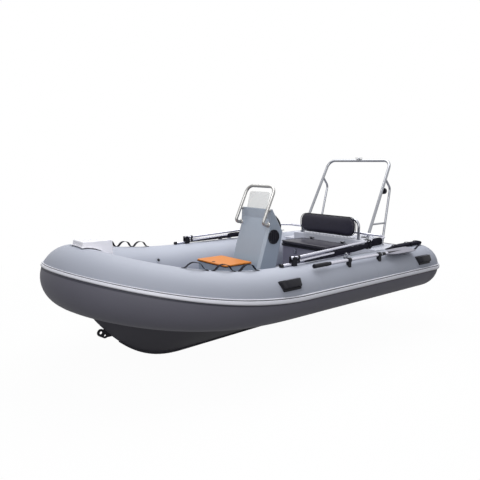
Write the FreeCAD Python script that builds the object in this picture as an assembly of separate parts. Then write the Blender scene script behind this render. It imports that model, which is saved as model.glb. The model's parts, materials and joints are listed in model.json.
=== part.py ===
import FreeCAD, Part
import math
import os
from FreeCAD import Vector

# Inflatable rib boat with a rigid V hull. Millimetres.
# +X is the bow, +Y is port, +Z is up. The origin is on the centreline, at the
# transom's aft face, at the waterline of the boat afloat and empty.

# Collar tubes
axis_height = 360.0
tube_radius = 220.0
nose_radius = 240.0
half_spacing = 784.0
straight_length = 1950.0
nose_x = 3386.0
bow_rise = 200.0
plan_power = 2.739
plan_round = 1.951
rise_power = 2.15
chamber_seam_x = 1700.0
station_count = 9
lead_count = 3
tangent_step = 0.0005
search_steps = 50
quarter_turn = 90.0
full_turn = 360.0
litre = 1e6

# Rub strake round the collar
strake_gap = 0.5
strake_depth = 15.0
strake_half_height = 26.0
strake_aft_angle = 3.0
strake_bow_angle = 26.0
strake_angle_power = 1.5
strake_dome_sweep = 62.0
strake_depth_shares = (0.0, 0.35, 0.95, 0.9, 0.3, 0.3, 1.0, 1.0, 0.3, 0.0, 0.0, 0.0)
strake_height_shares = (1.0, 1.0, 0.86, 0.58, 0.46, 0.22, 0.08, -0.62, -1.0, -1.0, -0.35, 0.35)

# Hull, floor and transom
keel_depth_aft = 510.0
keel_depth_bow = 578.0
keel_bend_x = 2450.0
keel_end_x = 3380.0
keel_power = 2.5
chine_inset = 90.0
chine_drop = 200.0
hull_end_x = 3296.0
hull_head = 40.0
hull_bow_start_x = 1500.0
hull_bow_stations = 13
spray_rail_share = 0.52
spray_rail_width = 42.0
spray_rail_height = 13.0
spray_rail_root = 8.0
spray_rail_tip_x = 2260.0
spray_rail_aft_x = 120.0
floor_drop = 136.0
floor_thickness = 12.0
floor_end_x = 2700.0
ramp_end_x = 3210.0
ramp_end_height = 35.0
transom_thickness = 45.0
keel_band_width = 40.0
keel_band_depth = 8.0
keel_band_end_x = 3060.0
keel_band_lap = 14.0
keel_band_points = 9
cut_overrun = 30.0
seat_gap = 0.3

# Aft deck
deck_height = 270.0
deck_front_x = 520.0
deck_half_width = 512.0
deck_aft_half_width = 205.0
deck_cut_length = 190.0
deck_edge_fillet = 12.0
ledge_height = 190.0
ledge_half_width = 690.0
cheek_slope = 45.0
well_half_width = 165.0
well_depth = 90.0
well_length = 150.0
well_bottom_inset = 20.0
well_fillet = 25.0

# Helm console, as a side outline
console_half_width = 208.0
console_foot_front_x = 1810.0
console_foot_rear_x = 1550.0
console_facet_x = 1587.0
console_facet_height = 541.0
console_top_front_x = 1582.0
console_top_rear_x = 1552.0
console_top_height = 632.0
dash_low_x = 1416.0
dash_low_height = 410.0
console_chamfer = 24.0
console_rear_fillet = 14.0
console_flange = 18.0
console_flange_front = 6.0
console_flange_height = 8.0
dash_recess_top = 30.0
dash_recess_length = 72.0
dash_recess_half_width = 150.0
dash_recess_depth = 7.0

# Round covers on the console's sides
cover_x = 1543.0
cover_height = 370.0
cover_radius = 69.0
cover_depth = 9.0
cover_rim = 9.0
cover_rim_depth = 5.0
cover_slat_count = 4
cover_slat_width = 7.0
cover_slat_depth = 3.0

# Console grab rail and windscreen
rail_tube_radius = 15.0
rail_half_width = 197.0
rail_foot_x = 1680.0
rail_foot_height = 488.0
rail_shoulder_x = 1533.0
rail_top_x = 1512.0
rail_top_height = 842.0
rail_bend = 75.0
rail_foot_bend = 28.0
rail_stub_height = 622.0
rail_stub_radius = 10.5
screen_half_width_low = 136.0
screen_half_width_top = 142.0
screen_foot_x = 1580.0
screen_top_x = 1535.0
screen_top_height = 790.0
screen_corner = 22.0
screen_thickness = 6.0

# Steering wheel and throttle
wheel_radius = 142.0
wheel_rim_radius = 13.0
wheel_hub_radius = 32.0
wheel_spoke_radius = 8.0
wheel_spokes = 3
wheel_standoff = 68.0
wheel_place_share = 0.8
helm_boss_radius = 40.0
helm_boss_depth = 28.0
helm_shaft_radius = 10.0
helm_shaft_length = 20.0
wheel_gap = 5.0
throttle_x = 1520.0
throttle_height = 490.0
throttle_plate_radius = 36.0
throttle_plate_depth = 30.0
throttle_lever_length = 88.0
throttle_lever_radius = 7.0
throttle_knob_radius = 17.0

# Seat, lid and backrest
seat_front_x = 900.0
seat_half_width = 322.0
seat_corner = 20.0
seat_wall = 10.0
seat_rim_height = 163.0
seat_lid_thickness = 14.0
cushion_top = 224.0
cushion_half_width = 340.0
cushion_front_x = 912.0
cushion_rear_x = 545.0
cushion_corner = 30.0
seat_pivot_x = 533.0
seat_pivot_height = 232.0
hinge_pin_radius = 6.0
hinge_length = 60.0
hinge_leaf_length = 30.0
hinge_place = 220.0
hinge_leaf = 4.0
pad_half_width = 385.0
pad_low = 298.0
pad_top = 505.0
pad_thickness = 50.0
pad_corner = 85.0
frame_x = 493.0
frame_radius = 14.0
frame_half_width = 401.0
frame_top = 478.0
frame_bend = 75.0
foot_plate_radius = 22.0
foot_plate_thickness = 5.0
latch_y = -115.0
latch_height = 120.0
latch_width = 26.0
latch_length = 48.0
latch_depth = 12.0

# Locker with its varnished lid, before the console
locker_rear_x = 1822.0
locker_front_x = 2125.0
locker_half_width = 212.0
locker_rim_height = 146.0
locker_wall = 10.0
locker_corner = 18.0
lid_thickness = 18.0
lid_overhang = 10.0
lid_corner = 26.0
lid_lift = 0.6
lid_pivot_drop = 4.0
lid_hinge_radius = 5.0
lid_hinge_length = 50.0
lid_hinge_place = 130.0

# Arch over the stern
arch_radius = 16.0
arch_foot_x = 425.0
arch_foot_y = 460.0
arch_top_x = 10.0
arch_top_y = 431.0
arch_top_height = 1097.0
arch_bend = 90.0
arch_plate_radius = 32.0
brace_radius = 12.5
brace_plate_radius = 25.0
brace_foot_x = 152.0
brace_back_x = 22.0
brace_back_height = 800.0
brace_top_height = 900.0
brace_bend = 60.0
arch_tie_height = 425.0
arch_tie_radius = 10.0
lamp_plate_radius = 42.0
lamp_plate_thickness = 6.0
lamp_stub_radius = 12.0
lamp_stub_height = 18.0
horn_radius = 33.0
horn_depth = 24.0
horn_height = 772.0
horn_stem_radius = 8.0
horn_standoff = 22.0

# Folded sun canopy
canopy_pivot_x = 1865.0
canopy_pivot_height = 282.0
canopy_pivot_y = 785.0
bow_radius = 12.5
bow_eye_radius = 16.0
bow_eye_width = 25.0
bow_cross_x = 449.0
bow_cross_height = 335.0
bow_cross_y = 735.0
bow_bend = 120.0
low_pole_radius = 11.0
low_pole_drop = 36.0
low_pole_front_x = 1815.0
low_pole_rear_x = 1330.0
low_pole_link_radius = 5.5
low_pole_link_x = 1793.0
sleeve_front_x = 1715.0
sleeve_rear_x = 745.0
sleeve_thin = 9.0
sleeve_thick = 20.0
wrap_rear_x = 590.0
wrap_top = 20.0
sleeve_gap = 1.5
sleeve_half_width = 24.0
bracket_length = 50.0
bracket_half_width = 24.0
bracket_wall = 7.0
bracket_pin_radius = 6.0
pin_clearance = 0.05
base_tube_front_x = 2015.0
base_tube_radius = 13.0
base_cap_length = 26.0
base_cap_radius = 16.0

# Oars with their clips and rowlocks
oar_y = 922.0
oar_height = 222.0
oar_grip_front_x = 1760.0
oar_grip_rear_x = 1590.0
oar_grip_radius = 19.0
oar_shaft_radius = 15.0
oar_shaft_rear_x = 735.0
blade_rear_x = 268.0
blade_neck_x = 797.0
blade_shoulder_x = 665.0
blade_corner = 25.0
blade_half_width = 62.0
blade_thickness = 14.0
blade_tilt = 12.0
blade_spine_x = 430.0
blade_spine_radius = 4.0
oar_clip_xs = (1305.0, 862.0)
clip_width = 34.0
clip_wall = 7.0
rowlock_x = 1240.0
rowlock_y = 836.0
rowlock_ring_radius = 17.0
rowlock_bar_radius = 4.5
rowlock_base_radius = 22.0
rowlock_base_height = 10.0
rowlock_collar_height = 5.0
rowlock_collar_radius = 12.0

# Carry handles, grab straps and the stowed cover
handle_xs = (2098.0, 196.0)
handle_angles = (31.0, 26.0)
handle_length = 238.0
handle_width = 92.0
handle_base = 8.0
handle_rise = 48.0
handle_grip = 17.0
handle_grip_width = 62.0
handle_low_share = 0.8
handle_end = 30.0
handle_rib_count = 7
handle_rib = 4.0
strap_near_shares = (0.337, 0.216, 0.117)
strap_far_shares = (0.345, 0.24, 0.152)
strap_length = 146.0
strap_rise = 62.0
strap_width = 38.0
strap_thickness = 4.0
strap_foot = 24.0
strap_top_share = 0.4
cover_roll_front_x = 560.0
cover_roll_mid_x = 300.0
cover_roll_rear_x = -40.0
cover_roll_half_width = 42.0
cover_roll_height = 30.0
cover_roll_thin = 12.0
cover_roll_top_share = 0.7

# Bow step and bow eye
step_front_x = 3382.0
step_rear_x = 3140.0
step_top_height = 478.0
step_top_half_width = 92.0
step_foot_half_width = 104.0
step_foot_height = 345.0
step_fillet = 12.0
step_flange = 16.0
step_flange_thickness = 4.0
step_groove_count = 6
step_groove_width = 8.0
step_groove_depth = 3.0
step_groove_margin = 30.0
eye_x = 3222.0
eye_drop = 276.0
eye_radius = 31.0
eye_hole_radius = 12.0
eye_low_x = 3188.0
eye_low_drop = 305.0
eye_low_radius = 23.0
eye_low_hole_radius = 8.0
eye_thickness = 10.0
eye_root_length = 110.0

centre_plane = Vector(0, 1, 0)
zero = Vector(0, 0, 0)
up = Vector(0, 0, 1)


def level(height):
    """Height above the waterline of a height above the tubes' axis."""
    return axis_height + height


def mirrored(shape):
    return shape.mirror(zero, centre_plane)


def both_sides(shape):
    return Part.makeCompound([shape, mirrored(shape)])


def save(name, shape):
    shape.exportStep("parts/%s.step" % name)
    print(name, "solids", len(shape.Solids), "valid", shape.isValid(), "litres %.2f" % (shape.Volume / litre))


def box(x0, x1, y0, y1, z0, z1):
    return Part.makeBox(x1 - x0, y1 - y0, z1 - z0, Vector(x0, y0, z0))


def rod(start, end, radius):
    along = end - start
    return Part.makeCylinder(radius, along.Length, start, along)


def prism(points, depth):
    """Solid from a closed outline, pushed along a vector."""
    outline = Part.makePolygon(points + [points[0]])
    return Part.Face(outline).extrude(depth)


def bent_path(points, bends):
    """Straight runs joined by tangent arcs at the inner points."""
    edges = []
    here = points[0]
    for i in range(1, len(points) - 1):
        corner = points[i]
        back = (points[i - 1] - corner).normalize()
        ahead = (points[i + 1] - corner).normalize()
        half_turn = back.getAngle(ahead) / 2
        reach = bends[i - 1] / math.tan(half_turn)
        first = corner + back * reach
        last = corner + ahead * reach
        inward = (back + ahead).normalize()
        middle = corner + inward * (bends[i - 1] / math.sin(half_turn) - bends[i - 1])
        edges.append(Part.LineSegment(here, first).toShape())
        edges.append(Part.Arc(first, middle, last).toShape())
        here = last
    edges.append(Part.LineSegment(here, points[-1]).toShape())
    return Part.Wire(edges)


def bent_tube(points, bends, radius):
    path = bent_path(points, bends)
    along = points[1] - points[0]
    ring = Part.Wire([Part.Circle(points[0], along, radius).toShape()])
    return path.makePipeShell([ring], True, False)


def axis_point(turn):
    """Centre of the collar tube: turn 0 at the port shoulder, 90 at the nose."""
    s = math.sin(math.radians(turn))
    c = math.cos(math.radians(turn))
    run = abs(s) ** (2 / plan_power)
    side = math.copysign(abs(c) ** (2 / plan_round), c)
    x = straight_length + (nose_x - straight_length) * run
    return Vector(x, half_spacing * side, axis_height + bow_rise * run ** rise_power)


def run_share(turn):
    return (axis_point(turn).x - straight_length) / (nose_x - straight_length)


def tube_frame(turn):
    """Centre, tangent, outward and upward directions, and radius, at one turn."""
    before = axis_point(max(turn - tangent_step, 0))
    after = axis_point(min(turn + tangent_step, 2 * quarter_turn))
    tangent = (after - before).normalize()
    outward = up.cross(tangent).normalize()
    upward = tangent.cross(outward)
    radius = tube_radius + (nose_radius - tube_radius) * run_share(turn) ** 2
    return axis_point(turn), tangent, outward, upward, radius


def straight_frame(x):
    centre = Vector(x, half_spacing, axis_height)
    return centre, Vector(1, 0, 0), Vector(0, 1, 0), up, tube_radius


def starboard(frame):
    """The same frame on the other side, still running from port to starboard."""
    centre, tangent, outward, upward, radius = frame
    flip = lambda v: Vector(v.x, -v.y, v.z)
    return flip(centre), flip(tangent) * -1, flip(outward), flip(upward), radius


def bow_frames():
    lead = [straight_frame(chamber_seam_x + (straight_length - chamber_seam_x) * i / lead_count)
            for i in range(lead_count)]
    half = [tube_frame(quarter_turn * i / station_count) for i in range(station_count)]
    return lead + half + [tube_frame(quarter_turn)] + [starboard(f) for f in reversed(lead + half)]


def collar_bow():
    rings = []
    for centre, tangent, outward, upward, radius in bow_frames():
        rings.append(Part.Wire([Part.Circle(centre, tangent, radius).toShape()]))
    return Part.makeLoft(rings, True, False)


def collar_side():
    """Port side chamber: a straight tube closed by a dome at the stern."""
    ahead = Vector(chamber_seam_x, half_spacing, axis_height)
    shoulder = Vector(0, half_spacing, axis_height)
    top = Vector(0, 0, tube_radius)
    tip = shoulder - Vector(tube_radius, 0, 0)
    slant = Vector(-1, 0, 1).normalize() * tube_radius
    edges = [Part.LineSegment(ahead, ahead + top).toShape(),
             Part.LineSegment(ahead + top, shoulder + top).toShape(),
             Part.Arc(shoulder + top, shoulder + slant, tip).toShape(),
             Part.LineSegment(tip, ahead).toShape()]
    return Part.Face(Part.Wire(edges)).revolve(shoulder, Vector(1, 0, 0), full_turn)


def strake_outline(frame, angle):
    centre, tangent, outward, upward, radius = frame
    slope = math.radians(angle)
    radial = outward * math.cos(slope) + upward * math.sin(slope)
    rise = upward * math.cos(slope) - outward * math.sin(slope)
    seat = centre + radial * (radius + strake_gap)
    points = []
    for deep, high in zip(strake_depth_shares, strake_height_shares):
        tangential = strake_half_height * high
        settle = radius - math.sqrt(radius ** 2 - tangential ** 2)
        points.append(seat + radial * (strake_depth * deep - settle) + rise * tangential)
    return Part.makePolygon(points + [points[0]])


def rub_strake():
    frames = bow_frames()
    outlines = []
    for frame in frames:
        share = max(0.0, (frame[0].x - straight_length) / (nose_x - straight_length))
        angle = strake_aft_angle + (strake_bow_angle - strake_aft_angle) * share ** strake_angle_power
        outlines.append(strake_outline(frame, angle))
    bow = Part.makeLoft(outlines, True, False)
    first = Part.Face(outlines[0])
    side = first.extrude(Vector(-chamber_seam_x, 0, 0))
    end = Part.Face(strake_outline(straight_frame(0), strake_aft_angle))
    shoulder = Vector(0, half_spacing, axis_height)
    stern = end.revolve(shoulder, up, strake_dome_sweep)
    return bow.fuse([side, stern, mirrored(side), mirrored(stern)])


def offset_point(x, inset, drop):
    """A point inset and dropped from the tube's axis, at one place along the boat."""
    if x <= straight_length:
        return Vector(x, half_spacing - inset, axis_height - drop)
    low, high = 0.0, quarter_turn
    for step in range(search_steps):
        turn = (low + high) / 2
        centre, tangent, outward, upward, radius = tube_frame(turn)
        place = centre - outward * inset
        if place.x < x:
            low = turn
        else:
            high = turn
    return Vector(x, place.y, place.z - drop * radius / tube_radius)


def keel_height(x):
    slope = (keel_depth_bow - keel_depth_aft) / keel_bend_x
    share = max(0.0, (x - keel_bend_x) / (keel_end_x - keel_bend_x))
    stem_rise = (keel_depth_aft + slope * keel_end_x) * share ** keel_power
    return level(stem_rise - keel_depth_aft - slope * x)


def hull_outline(x):
    chine = offset_point(x, chine_inset, chine_drop)
    port = [Vector(x, 0, keel_height(x)), chine, Vector(x, chine.y, level(hull_head))]
    other = [Vector(p.x, -p.y, p.z) for p in reversed(port[1:])]
    return Part.makePolygon(port + other + [port[0]])


def panel_place(x, across, out):
    """A point on the port bottom panel: across from its middle, and out along its normal."""
    keel = Vector(x, 0, keel_height(x))
    chine = offset_point(x, chine_inset, chine_drop)
    along = (chine - keel).normalize()
    outward = Vector(0, along.z, -along.y)
    return keel + (chine - keel) * spray_rail_share + along * across + outward * out


def spray_rail():
    """Lifting rail under the port bottom panel, running out to a point ahead."""
    outlines = []
    for x, share in ((spray_rail_aft_x, 1.0), (straight_length, 1.0), (spray_rail_tip_x, 0.0)):
        high = spray_rail_height * share - spray_rail_root * (1 - share) / 2
        half = spray_rail_width / 2
        points = [panel_place(x, -half, -spray_rail_root), panel_place(x, half, -spray_rail_root),
                  panel_place(x, half, high)]
        outlines.append(Part.makePolygon(points + [points[0]]))
    return Part.makeLoft(outlines, True, True)


def hull(collar):
    """Deep V hull: straight aft panels, a lofted bow, and the sole cut down to the floor."""
    aft = Part.makeLoft([hull_outline(transom_thickness), hull_outline(hull_bow_start_x)], True, True)
    step = (hull_end_x - hull_bow_start_x) / hull_bow_stations
    xs = [hull_bow_start_x + step * i for i in range(hull_bow_stations + 1)]
    body = aft.fuse(Part.makeLoft([hull_outline(x) for x in xs], True, False))
    rail = spray_rail()
    body = body.fuse([rail, mirrored(rail)])
    under = level(-floor_drop - floor_thickness)
    head = level(hull_head) + cut_overrun
    side = -half_spacing
    well = [Vector(-cut_overrun, side, under), Vector(floor_end_x, side, under),
            Vector(ramp_end_x, side, level(ramp_end_height)), Vector(ramp_end_x, side, head),
            Vector(-cut_overrun, side, head)]
    return body.cut(prism(well, Vector(0, 2 * half_spacing, 0))).cut(collar)


def keel_band(hull_solid):
    """Protective strip let on to the keel, following its curve."""
    step = (keel_band_end_x - keel_bend_x) / (keel_band_points - 1)
    xs = [keel_bend_x + step * i for i in range(keel_band_points)]
    side = -keel_band_width / 2
    curves = []
    for lift in (keel_band_lap, -keel_band_depth):
        curve = Part.BSplineCurve()
        curve.interpolate([Vector(x, side, keel_height(x) + lift) for x in xs])
        start = Vector(transom_thickness, side, keel_height(transom_thickness) + lift)
        bend = Vector(keel_bend_x, side, keel_height(keel_bend_x) + lift)
        curves.append([Part.LineSegment(start, bend).toShape(), curve.toShape()])
    top, low = curves
    tip = [curve[1].Vertexes[-1].Point for curve in curves]
    tail = [curve[0].Vertexes[0].Point for curve in curves]
    ends = [Part.LineSegment(*tip).toShape(), Part.LineSegment(*tail).toShape()]
    outline = Part.Wire(Part.__sortEdges__(top + low + ends))
    return Part.Face(outline).extrude(Vector(0, keel_band_width, 0)).cut(hull_solid)


def floor(collar):
    xs = [transom_thickness, straight_length, (straight_length + floor_end_x) / 2, floor_end_x]
    z = level(-floor_drop - floor_thickness)
    port = [Vector(x, offset_point(x, chine_inset, 0).y, z) for x in xs]
    other = [Vector(p.x, -p.y, p.z) for p in reversed(port)]
    return prism(port + other, Vector(0, 0, floor_thickness)).cut(collar)


def transom(collar):
    chine = offset_point(0, chine_inset, chine_drop)
    top = level(deck_height)
    ledge = level(ledge_height)
    points = [Vector(0, 0, keel_height(0)), chine, Vector(0, ledge_half_width, ledge),
              Vector(0, deck_aft_half_width + cheek_slope, ledge), Vector(0, deck_aft_half_width, top),
              Vector(0, well_half_width, top), Vector(0, well_half_width - well_bottom_inset, top - well_depth)]
    other = [Vector(p.x, -p.y, p.z) for p in reversed(points[1:])]
    return prism(points + other, Vector(transom_thickness, 0, 0)).cut(collar)


def aft_deck(collar):
    top = level(deck_height)
    low = level(-floor_drop)
    cut_x = transom_thickness + deck_cut_length
    port = [Vector(transom_thickness, deck_aft_half_width, low), Vector(cut_x, deck_half_width, low),
            Vector(deck_front_x, deck_half_width, low)]
    other = [Vector(p.x, -p.y, p.z) for p in reversed(port)]
    body = prism(port + other, Vector(0, 0, top - low))
    rim = [e for e in body.Edges if e.CenterOfMass.z > top - seat_gap
           and e.CenterOfMass.x > transom_thickness + seat_gap]
    body = body.makeFillet(deck_edge_fillet, rim)
    across = ledge_half_width
    ledge = box(transom_thickness, deck_front_x, -across, across, low, level(ledge_height))
    well = box(0, transom_thickness + well_length, -well_half_width, well_half_width,
               top - well_depth, top + cut_overrun)
    corners = [e for e in well.Edges if e.BoundBox.ZLength > well_depth and e.CenterOfMass.x > transom_thickness]
    return body.fuse(ledge).cut(well.makeFillet(well_fillet, corners)).cut(collar)


def console():
    side = -console_half_width
    points = [Vector(console_foot_front_x, side, level(-floor_drop)),
              Vector(console_facet_x, side, level(console_facet_height)),
              Vector(console_top_front_x, side, level(console_top_height)),
              Vector(console_top_rear_x, side, level(console_top_height)),
              Vector(dash_low_x, side, level(dash_low_height)),
              Vector(console_foot_rear_x, side, level(-floor_drop))]
    body = prism(points, Vector(0, 2 * console_half_width, 0))
    side_edges = [e for e in body.Edges if abs(abs(e.CenterOfMass.y) - console_half_width) < seat_gap
                  and e.BoundBox.ZLength > e.BoundBox.XLength]
    body = body.makeChamfer(console_chamfer, [e for e in side_edges if e.CenterOfMass.x > console_facet_x])
    rear = [e for e in body.Edges if abs(abs(e.CenterOfMass.y) - console_half_width) < seat_gap
            and e.BoundBox.ZLength > e.BoundBox.XLength and e.CenterOfMass.x < console_top_rear_x]
    body = body.makeFillet(console_rear_fillet, rear)
    across = console_half_width + console_flange
    low = level(-floor_drop)
    flange = box(console_foot_rear_x - console_flange, console_foot_front_x + console_flange_front,
                 -across, across, low, low + console_flange_height)
    return body.fuse(flange).cut(dash_recess())


def dash_recess():
    """Shallow pocket of the instrument panel, in the dash's upper half."""
    along = dash_direction()
    start = Vector(console_top_rear_x, -dash_recess_half_width, level(console_top_height))
    start = start + along * dash_recess_top
    inward = dash_normal() * -dash_recess_depth
    outward = dash_normal() * cut_overrun
    corners = [start + inward, start + along * dash_recess_length + inward,
               start + along * dash_recess_length + outward, start + outward]
    return prism(corners, Vector(0, 2 * dash_recess_half_width, 0))


def side_covers():
    seat = Vector(cover_x, console_half_width, level(cover_height))
    outward = Vector(0, 1, 0)
    body = Part.makeCylinder(cover_radius, cover_depth, seat, outward)
    floor_of_dish = seat + outward * (cover_depth - cover_rim_depth)
    dish = Part.makeCylinder(cover_radius - cover_rim, cover_rim_depth, floor_of_dish, outward)
    body = body.cut(dish)
    pitch = 2 * (cover_radius - cover_rim) / (cover_slat_count + 1)
    slats = []
    for i in range(cover_slat_count):
        x = cover_x - cover_radius + cover_rim + pitch * (i + 1)
        slat = box(x - cover_slat_width / 2, x + cover_slat_width / 2, floor_of_dish.y,
                   floor_of_dish.y + cover_slat_depth, seat.z - cover_radius, seat.z + cover_radius)
        slats.append(slat.common(dish))
    return both_sides(body.fuse(slats))


def dash_direction():
    return Vector(dash_low_x - console_top_rear_x, 0, dash_low_height - console_top_height).normalize()


def dash_normal():
    along = dash_direction()
    return Vector(along.z, 0, -along.x)


def wheel_seat():
    low = Vector(dash_low_x, 0, level(dash_low_height))
    top = Vector(console_top_rear_x, 0, level(console_top_height))
    return top + (low - top) * wheel_place_share


def helm_boss():
    """Round helm boss with the bore that the wheel's shaft turns in."""
    normal = dash_normal()
    boss = Part.makeCylinder(helm_boss_radius, helm_boss_depth, wheel_seat(), normal)
    mouth = wheel_seat() + normal * helm_boss_depth
    depth = helm_shaft_length + wheel_gap
    bore = Part.makeCylinder(helm_shaft_radius + pin_clearance, depth, mouth, normal * -1)
    return boss.cut(bore)


def steering_wheel():
    normal = dash_normal()
    centre = wheel_seat() + normal * wheel_standoff
    rim = Part.makeTorus(wheel_radius - wheel_rim_radius, wheel_rim_radius, centre, normal)
    hub_start = wheel_seat() + normal * (helm_boss_depth + wheel_gap)
    hub = Part.makeCylinder(wheel_hub_radius, wheel_standoff - helm_boss_depth, hub_start, normal)
    shaft_length = helm_shaft_length + wheel_gap
    shaft = Part.makeCylinder(helm_shaft_radius, shaft_length, hub_start, normal * -1)
    pieces = [hub, shaft]
    for i in range(wheel_spokes):
        turn = math.radians(quarter_turn + full_turn * i / wheel_spokes)
        arm = Vector(0, 1, 0) * math.cos(turn) - dash_direction() * math.sin(turn)
        pieces.append(rod(centre, centre + arm * (wheel_radius - wheel_rim_radius), wheel_spoke_radius))
    return rim.fuse(pieces)


def throttle():
    seat = Vector(throttle_x, -console_half_width, level(throttle_height))
    outward = Vector(0, -1, 0)
    plate = Part.makeCylinder(throttle_plate_radius, throttle_plate_depth, seat, outward)
    start = seat + outward * (throttle_plate_depth / 2)
    tip = start + Vector(0, 0, throttle_lever_length)
    lever = rod(start, tip, throttle_lever_radius)
    knob = Part.makeSphere(throttle_knob_radius, tip)
    return plate.fuse([lever, knob])


def console_rail():
    """Bent grab rail before the console, with two stubs on each leg."""
    y = rail_half_width
    front_slope = (console_facet_x - console_foot_front_x) / (console_facet_height + floor_drop)
    foot_end_x = console_facet_x + front_slope * (rail_foot_height - console_facet_height)
    foot = Vector(rail_foot_x, y, level(rail_foot_height))
    shoulder = Vector(rail_top_x, y, level(rail_top_height))
    flip = lambda p: Vector(p.x, -p.y, p.z)
    start = Vector(foot_end_x, y, level(rail_foot_height))
    points = [start, foot, shoulder, flip(shoulder), flip(foot), flip(start)]
    rail = bent_tube(points, [rail_foot_bend, rail_bend, rail_bend, rail_foot_bend], rail_tube_radius)
    share = (rail_stub_height - rail_foot_height) / (rail_top_height - rail_foot_height)
    on_rail = foot + (shoulder - foot) * share
    on_console = Vector(console_top_front_x - rail_stub_radius, y, on_rail.z)
    stub = rod(on_console, on_rail, rail_stub_radius)
    rail = rail.fuse([stub, mirrored(stub)])
    return rail.cut(console())


def windscreen():
    """Flat raked screen with rounded upper corners."""
    port = [Vector(screen_foot_x, screen_half_width_low, level(console_top_height)),
            Vector(screen_top_x, screen_half_width_top, level(screen_top_height))]
    points = port + [Vector(p.x, -p.y, p.z) for p in reversed(port)]
    sides = bent_path(points, [screen_corner, screen_corner])
    foot = Part.LineSegment(points[-1], points[0]).toShape()
    return Part.Face(Part.Wire(sides.Edges + [foot])).extrude(Vector(-screen_thickness, 0, 0))


def upright_edges(body, x, half_width):
    """The upright edges of a box at its forward corners."""
    return [e for e in body.Edges if abs(e.CenterOfMass.x - x) < seat_gap
            and abs(abs(e.CenterOfMass.y) - half_width) < seat_gap and e.BoundBox.ZLength > seat_gap]


def seat_box():
    low = level(-floor_drop)
    top = level(seat_rim_height)
    outer = box(deck_front_x, seat_front_x, -seat_half_width, seat_half_width, low, top)
    outer = outer.makeFillet(seat_corner, upright_edges(outer, seat_front_x, seat_half_width))
    inner = box(deck_front_x + seat_wall, seat_front_x - seat_wall, -seat_half_width + seat_wall,
                seat_half_width - seat_wall, low + seat_wall, top + cut_overrun)
    return outer.cut(inner)


def seat_lid():
    low = level(seat_rim_height) + lid_lift
    top = low + seat_lid_thickness
    rear = seat_pivot_x + hinge_pin_radius + seat_gap
    across = seat_half_width + seat_wall
    plate = box(rear, seat_front_x + seat_wall, -across, across, low, top)
    plate = plate.makeFillet(seat_corner, upright_edges(plate, seat_front_x + seat_wall, across))
    pieces = []
    for side in (-1, 1):
        y = side * hinge_place
        leaf = box(rear, rear + hinge_leaf, y - hinge_leaf_length / 2, y + hinge_leaf_length / 2,
                   top, level(seat_pivot_height))
        pieces.append(leaf)
    return plate.fuse(pieces)


def seat_hinges():
    pieces = []
    for side in (-1, 1):
        y = side * hinge_place
        start = Vector(seat_pivot_x, y - hinge_length / 2, level(seat_pivot_height))
        pin = Part.makeCylinder(hinge_pin_radius, hinge_length, start, Vector(0, 1, 0))
        block = box(deck_front_x, seat_pivot_x, y - hinge_length / 2, y + hinge_length / 2,
                    level(seat_pivot_height) - hinge_pin_radius, level(seat_pivot_height) + hinge_pin_radius)
        pieces.append(pin.fuse(block))
    return Part.makeCompound(pieces)


def seat_cushion():
    low = level(seat_rim_height) + lid_lift + seat_lid_thickness + seat_gap
    body = box(cushion_rear_x, cushion_front_x, -cushion_half_width, cushion_half_width,
               low, level(cushion_top))
    edges = [e for e in body.Edges if e.BoundBox.ZLength > cushion_corner]
    return body.makeFillet(cushion_corner, edges)


def seat_latch():
    z = level(latch_height)
    return box(seat_front_x, seat_front_x + latch_depth, latch_y - latch_width / 2, latch_y + latch_width / 2,
               z - latch_length / 2, z + latch_length / 2)


def backrest_frame():
    foot = Vector(frame_x, frame_half_width, level(deck_height))
    corner = Vector(frame_x, frame_half_width, level(frame_top))
    flip = lambda p: Vector(p.x, -p.y, p.z)
    bow = bent_tube([foot, corner, flip(corner), flip(foot)], [frame_bend, frame_bend], frame_radius)
    plate = Part.makeCylinder(foot_plate_radius, foot_plate_thickness, foot, up)
    ahead = deck_front_x - deck_edge_fillet
    plate = plate.common(box(0, ahead, 0, deck_half_width, 0, level(pad_top)))
    return bow.fuse([plate, mirrored(plate)])


def backrest_pad():
    rear = frame_x + frame_radius + seat_gap
    body = box(rear, rear + pad_thickness, -pad_half_width, pad_half_width, level(pad_low), level(pad_top))
    edges = [e for e in body.Edges if e.BoundBox.XLength > pad_thickness / 2]
    return body.makeFillet(pad_corner, edges)


def front_locker():
    low = level(-floor_drop)
    top = level(locker_rim_height)
    outer = box(locker_rear_x, locker_front_x, -locker_half_width, locker_half_width, low, top)
    outer = outer.makeFillet(locker_corner, upright_edges(outer, locker_front_x, locker_half_width))
    inner = box(locker_rear_x + locker_wall, locker_front_x - locker_wall, -locker_half_width + locker_wall,
                locker_half_width - locker_wall, low + locker_wall, top + cut_overrun)
    return outer.cut(inner)


def locker_lid():
    low = level(locker_rim_height) + lid_lift
    front = locker_front_x + lid_overhang
    across = locker_half_width + lid_overhang
    board = box(locker_rear_x + 2 * lid_hinge_radius, front, -across, across, low, low + lid_thickness)
    return board.makeFillet(lid_corner, upright_edges(board, front, across))


def locker_hinges():
    z = level(locker_rim_height) + lid_lift + lid_thickness / 2
    x = locker_rear_x + lid_hinge_radius - seat_gap
    pieces = []
    for side in (-1, 1):
        y = side * lid_hinge_place
        start = Vector(x, y - lid_hinge_length / 2, z)
        pin = Part.makeCylinder(lid_hinge_radius, lid_hinge_length, start, Vector(0, 1, 0))
        foot = box(x - lid_hinge_radius / 2, x + lid_hinge_radius / 2, y - lid_hinge_length / 2,
                   y + lid_hinge_length / 2, level(locker_rim_height), z)
        pieces.append(pin.fuse(foot))
    return Part.makeCompound(pieces)


def arch_point(height):
    """A point on the port leg's centre line."""
    foot = Vector(arch_foot_x, arch_foot_y, level(deck_height))
    top = Vector(arch_top_x, arch_top_y, level(arch_top_height))
    share = (height - deck_height) / (arch_top_height - deck_height)
    return foot + (top - foot) * share


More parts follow.
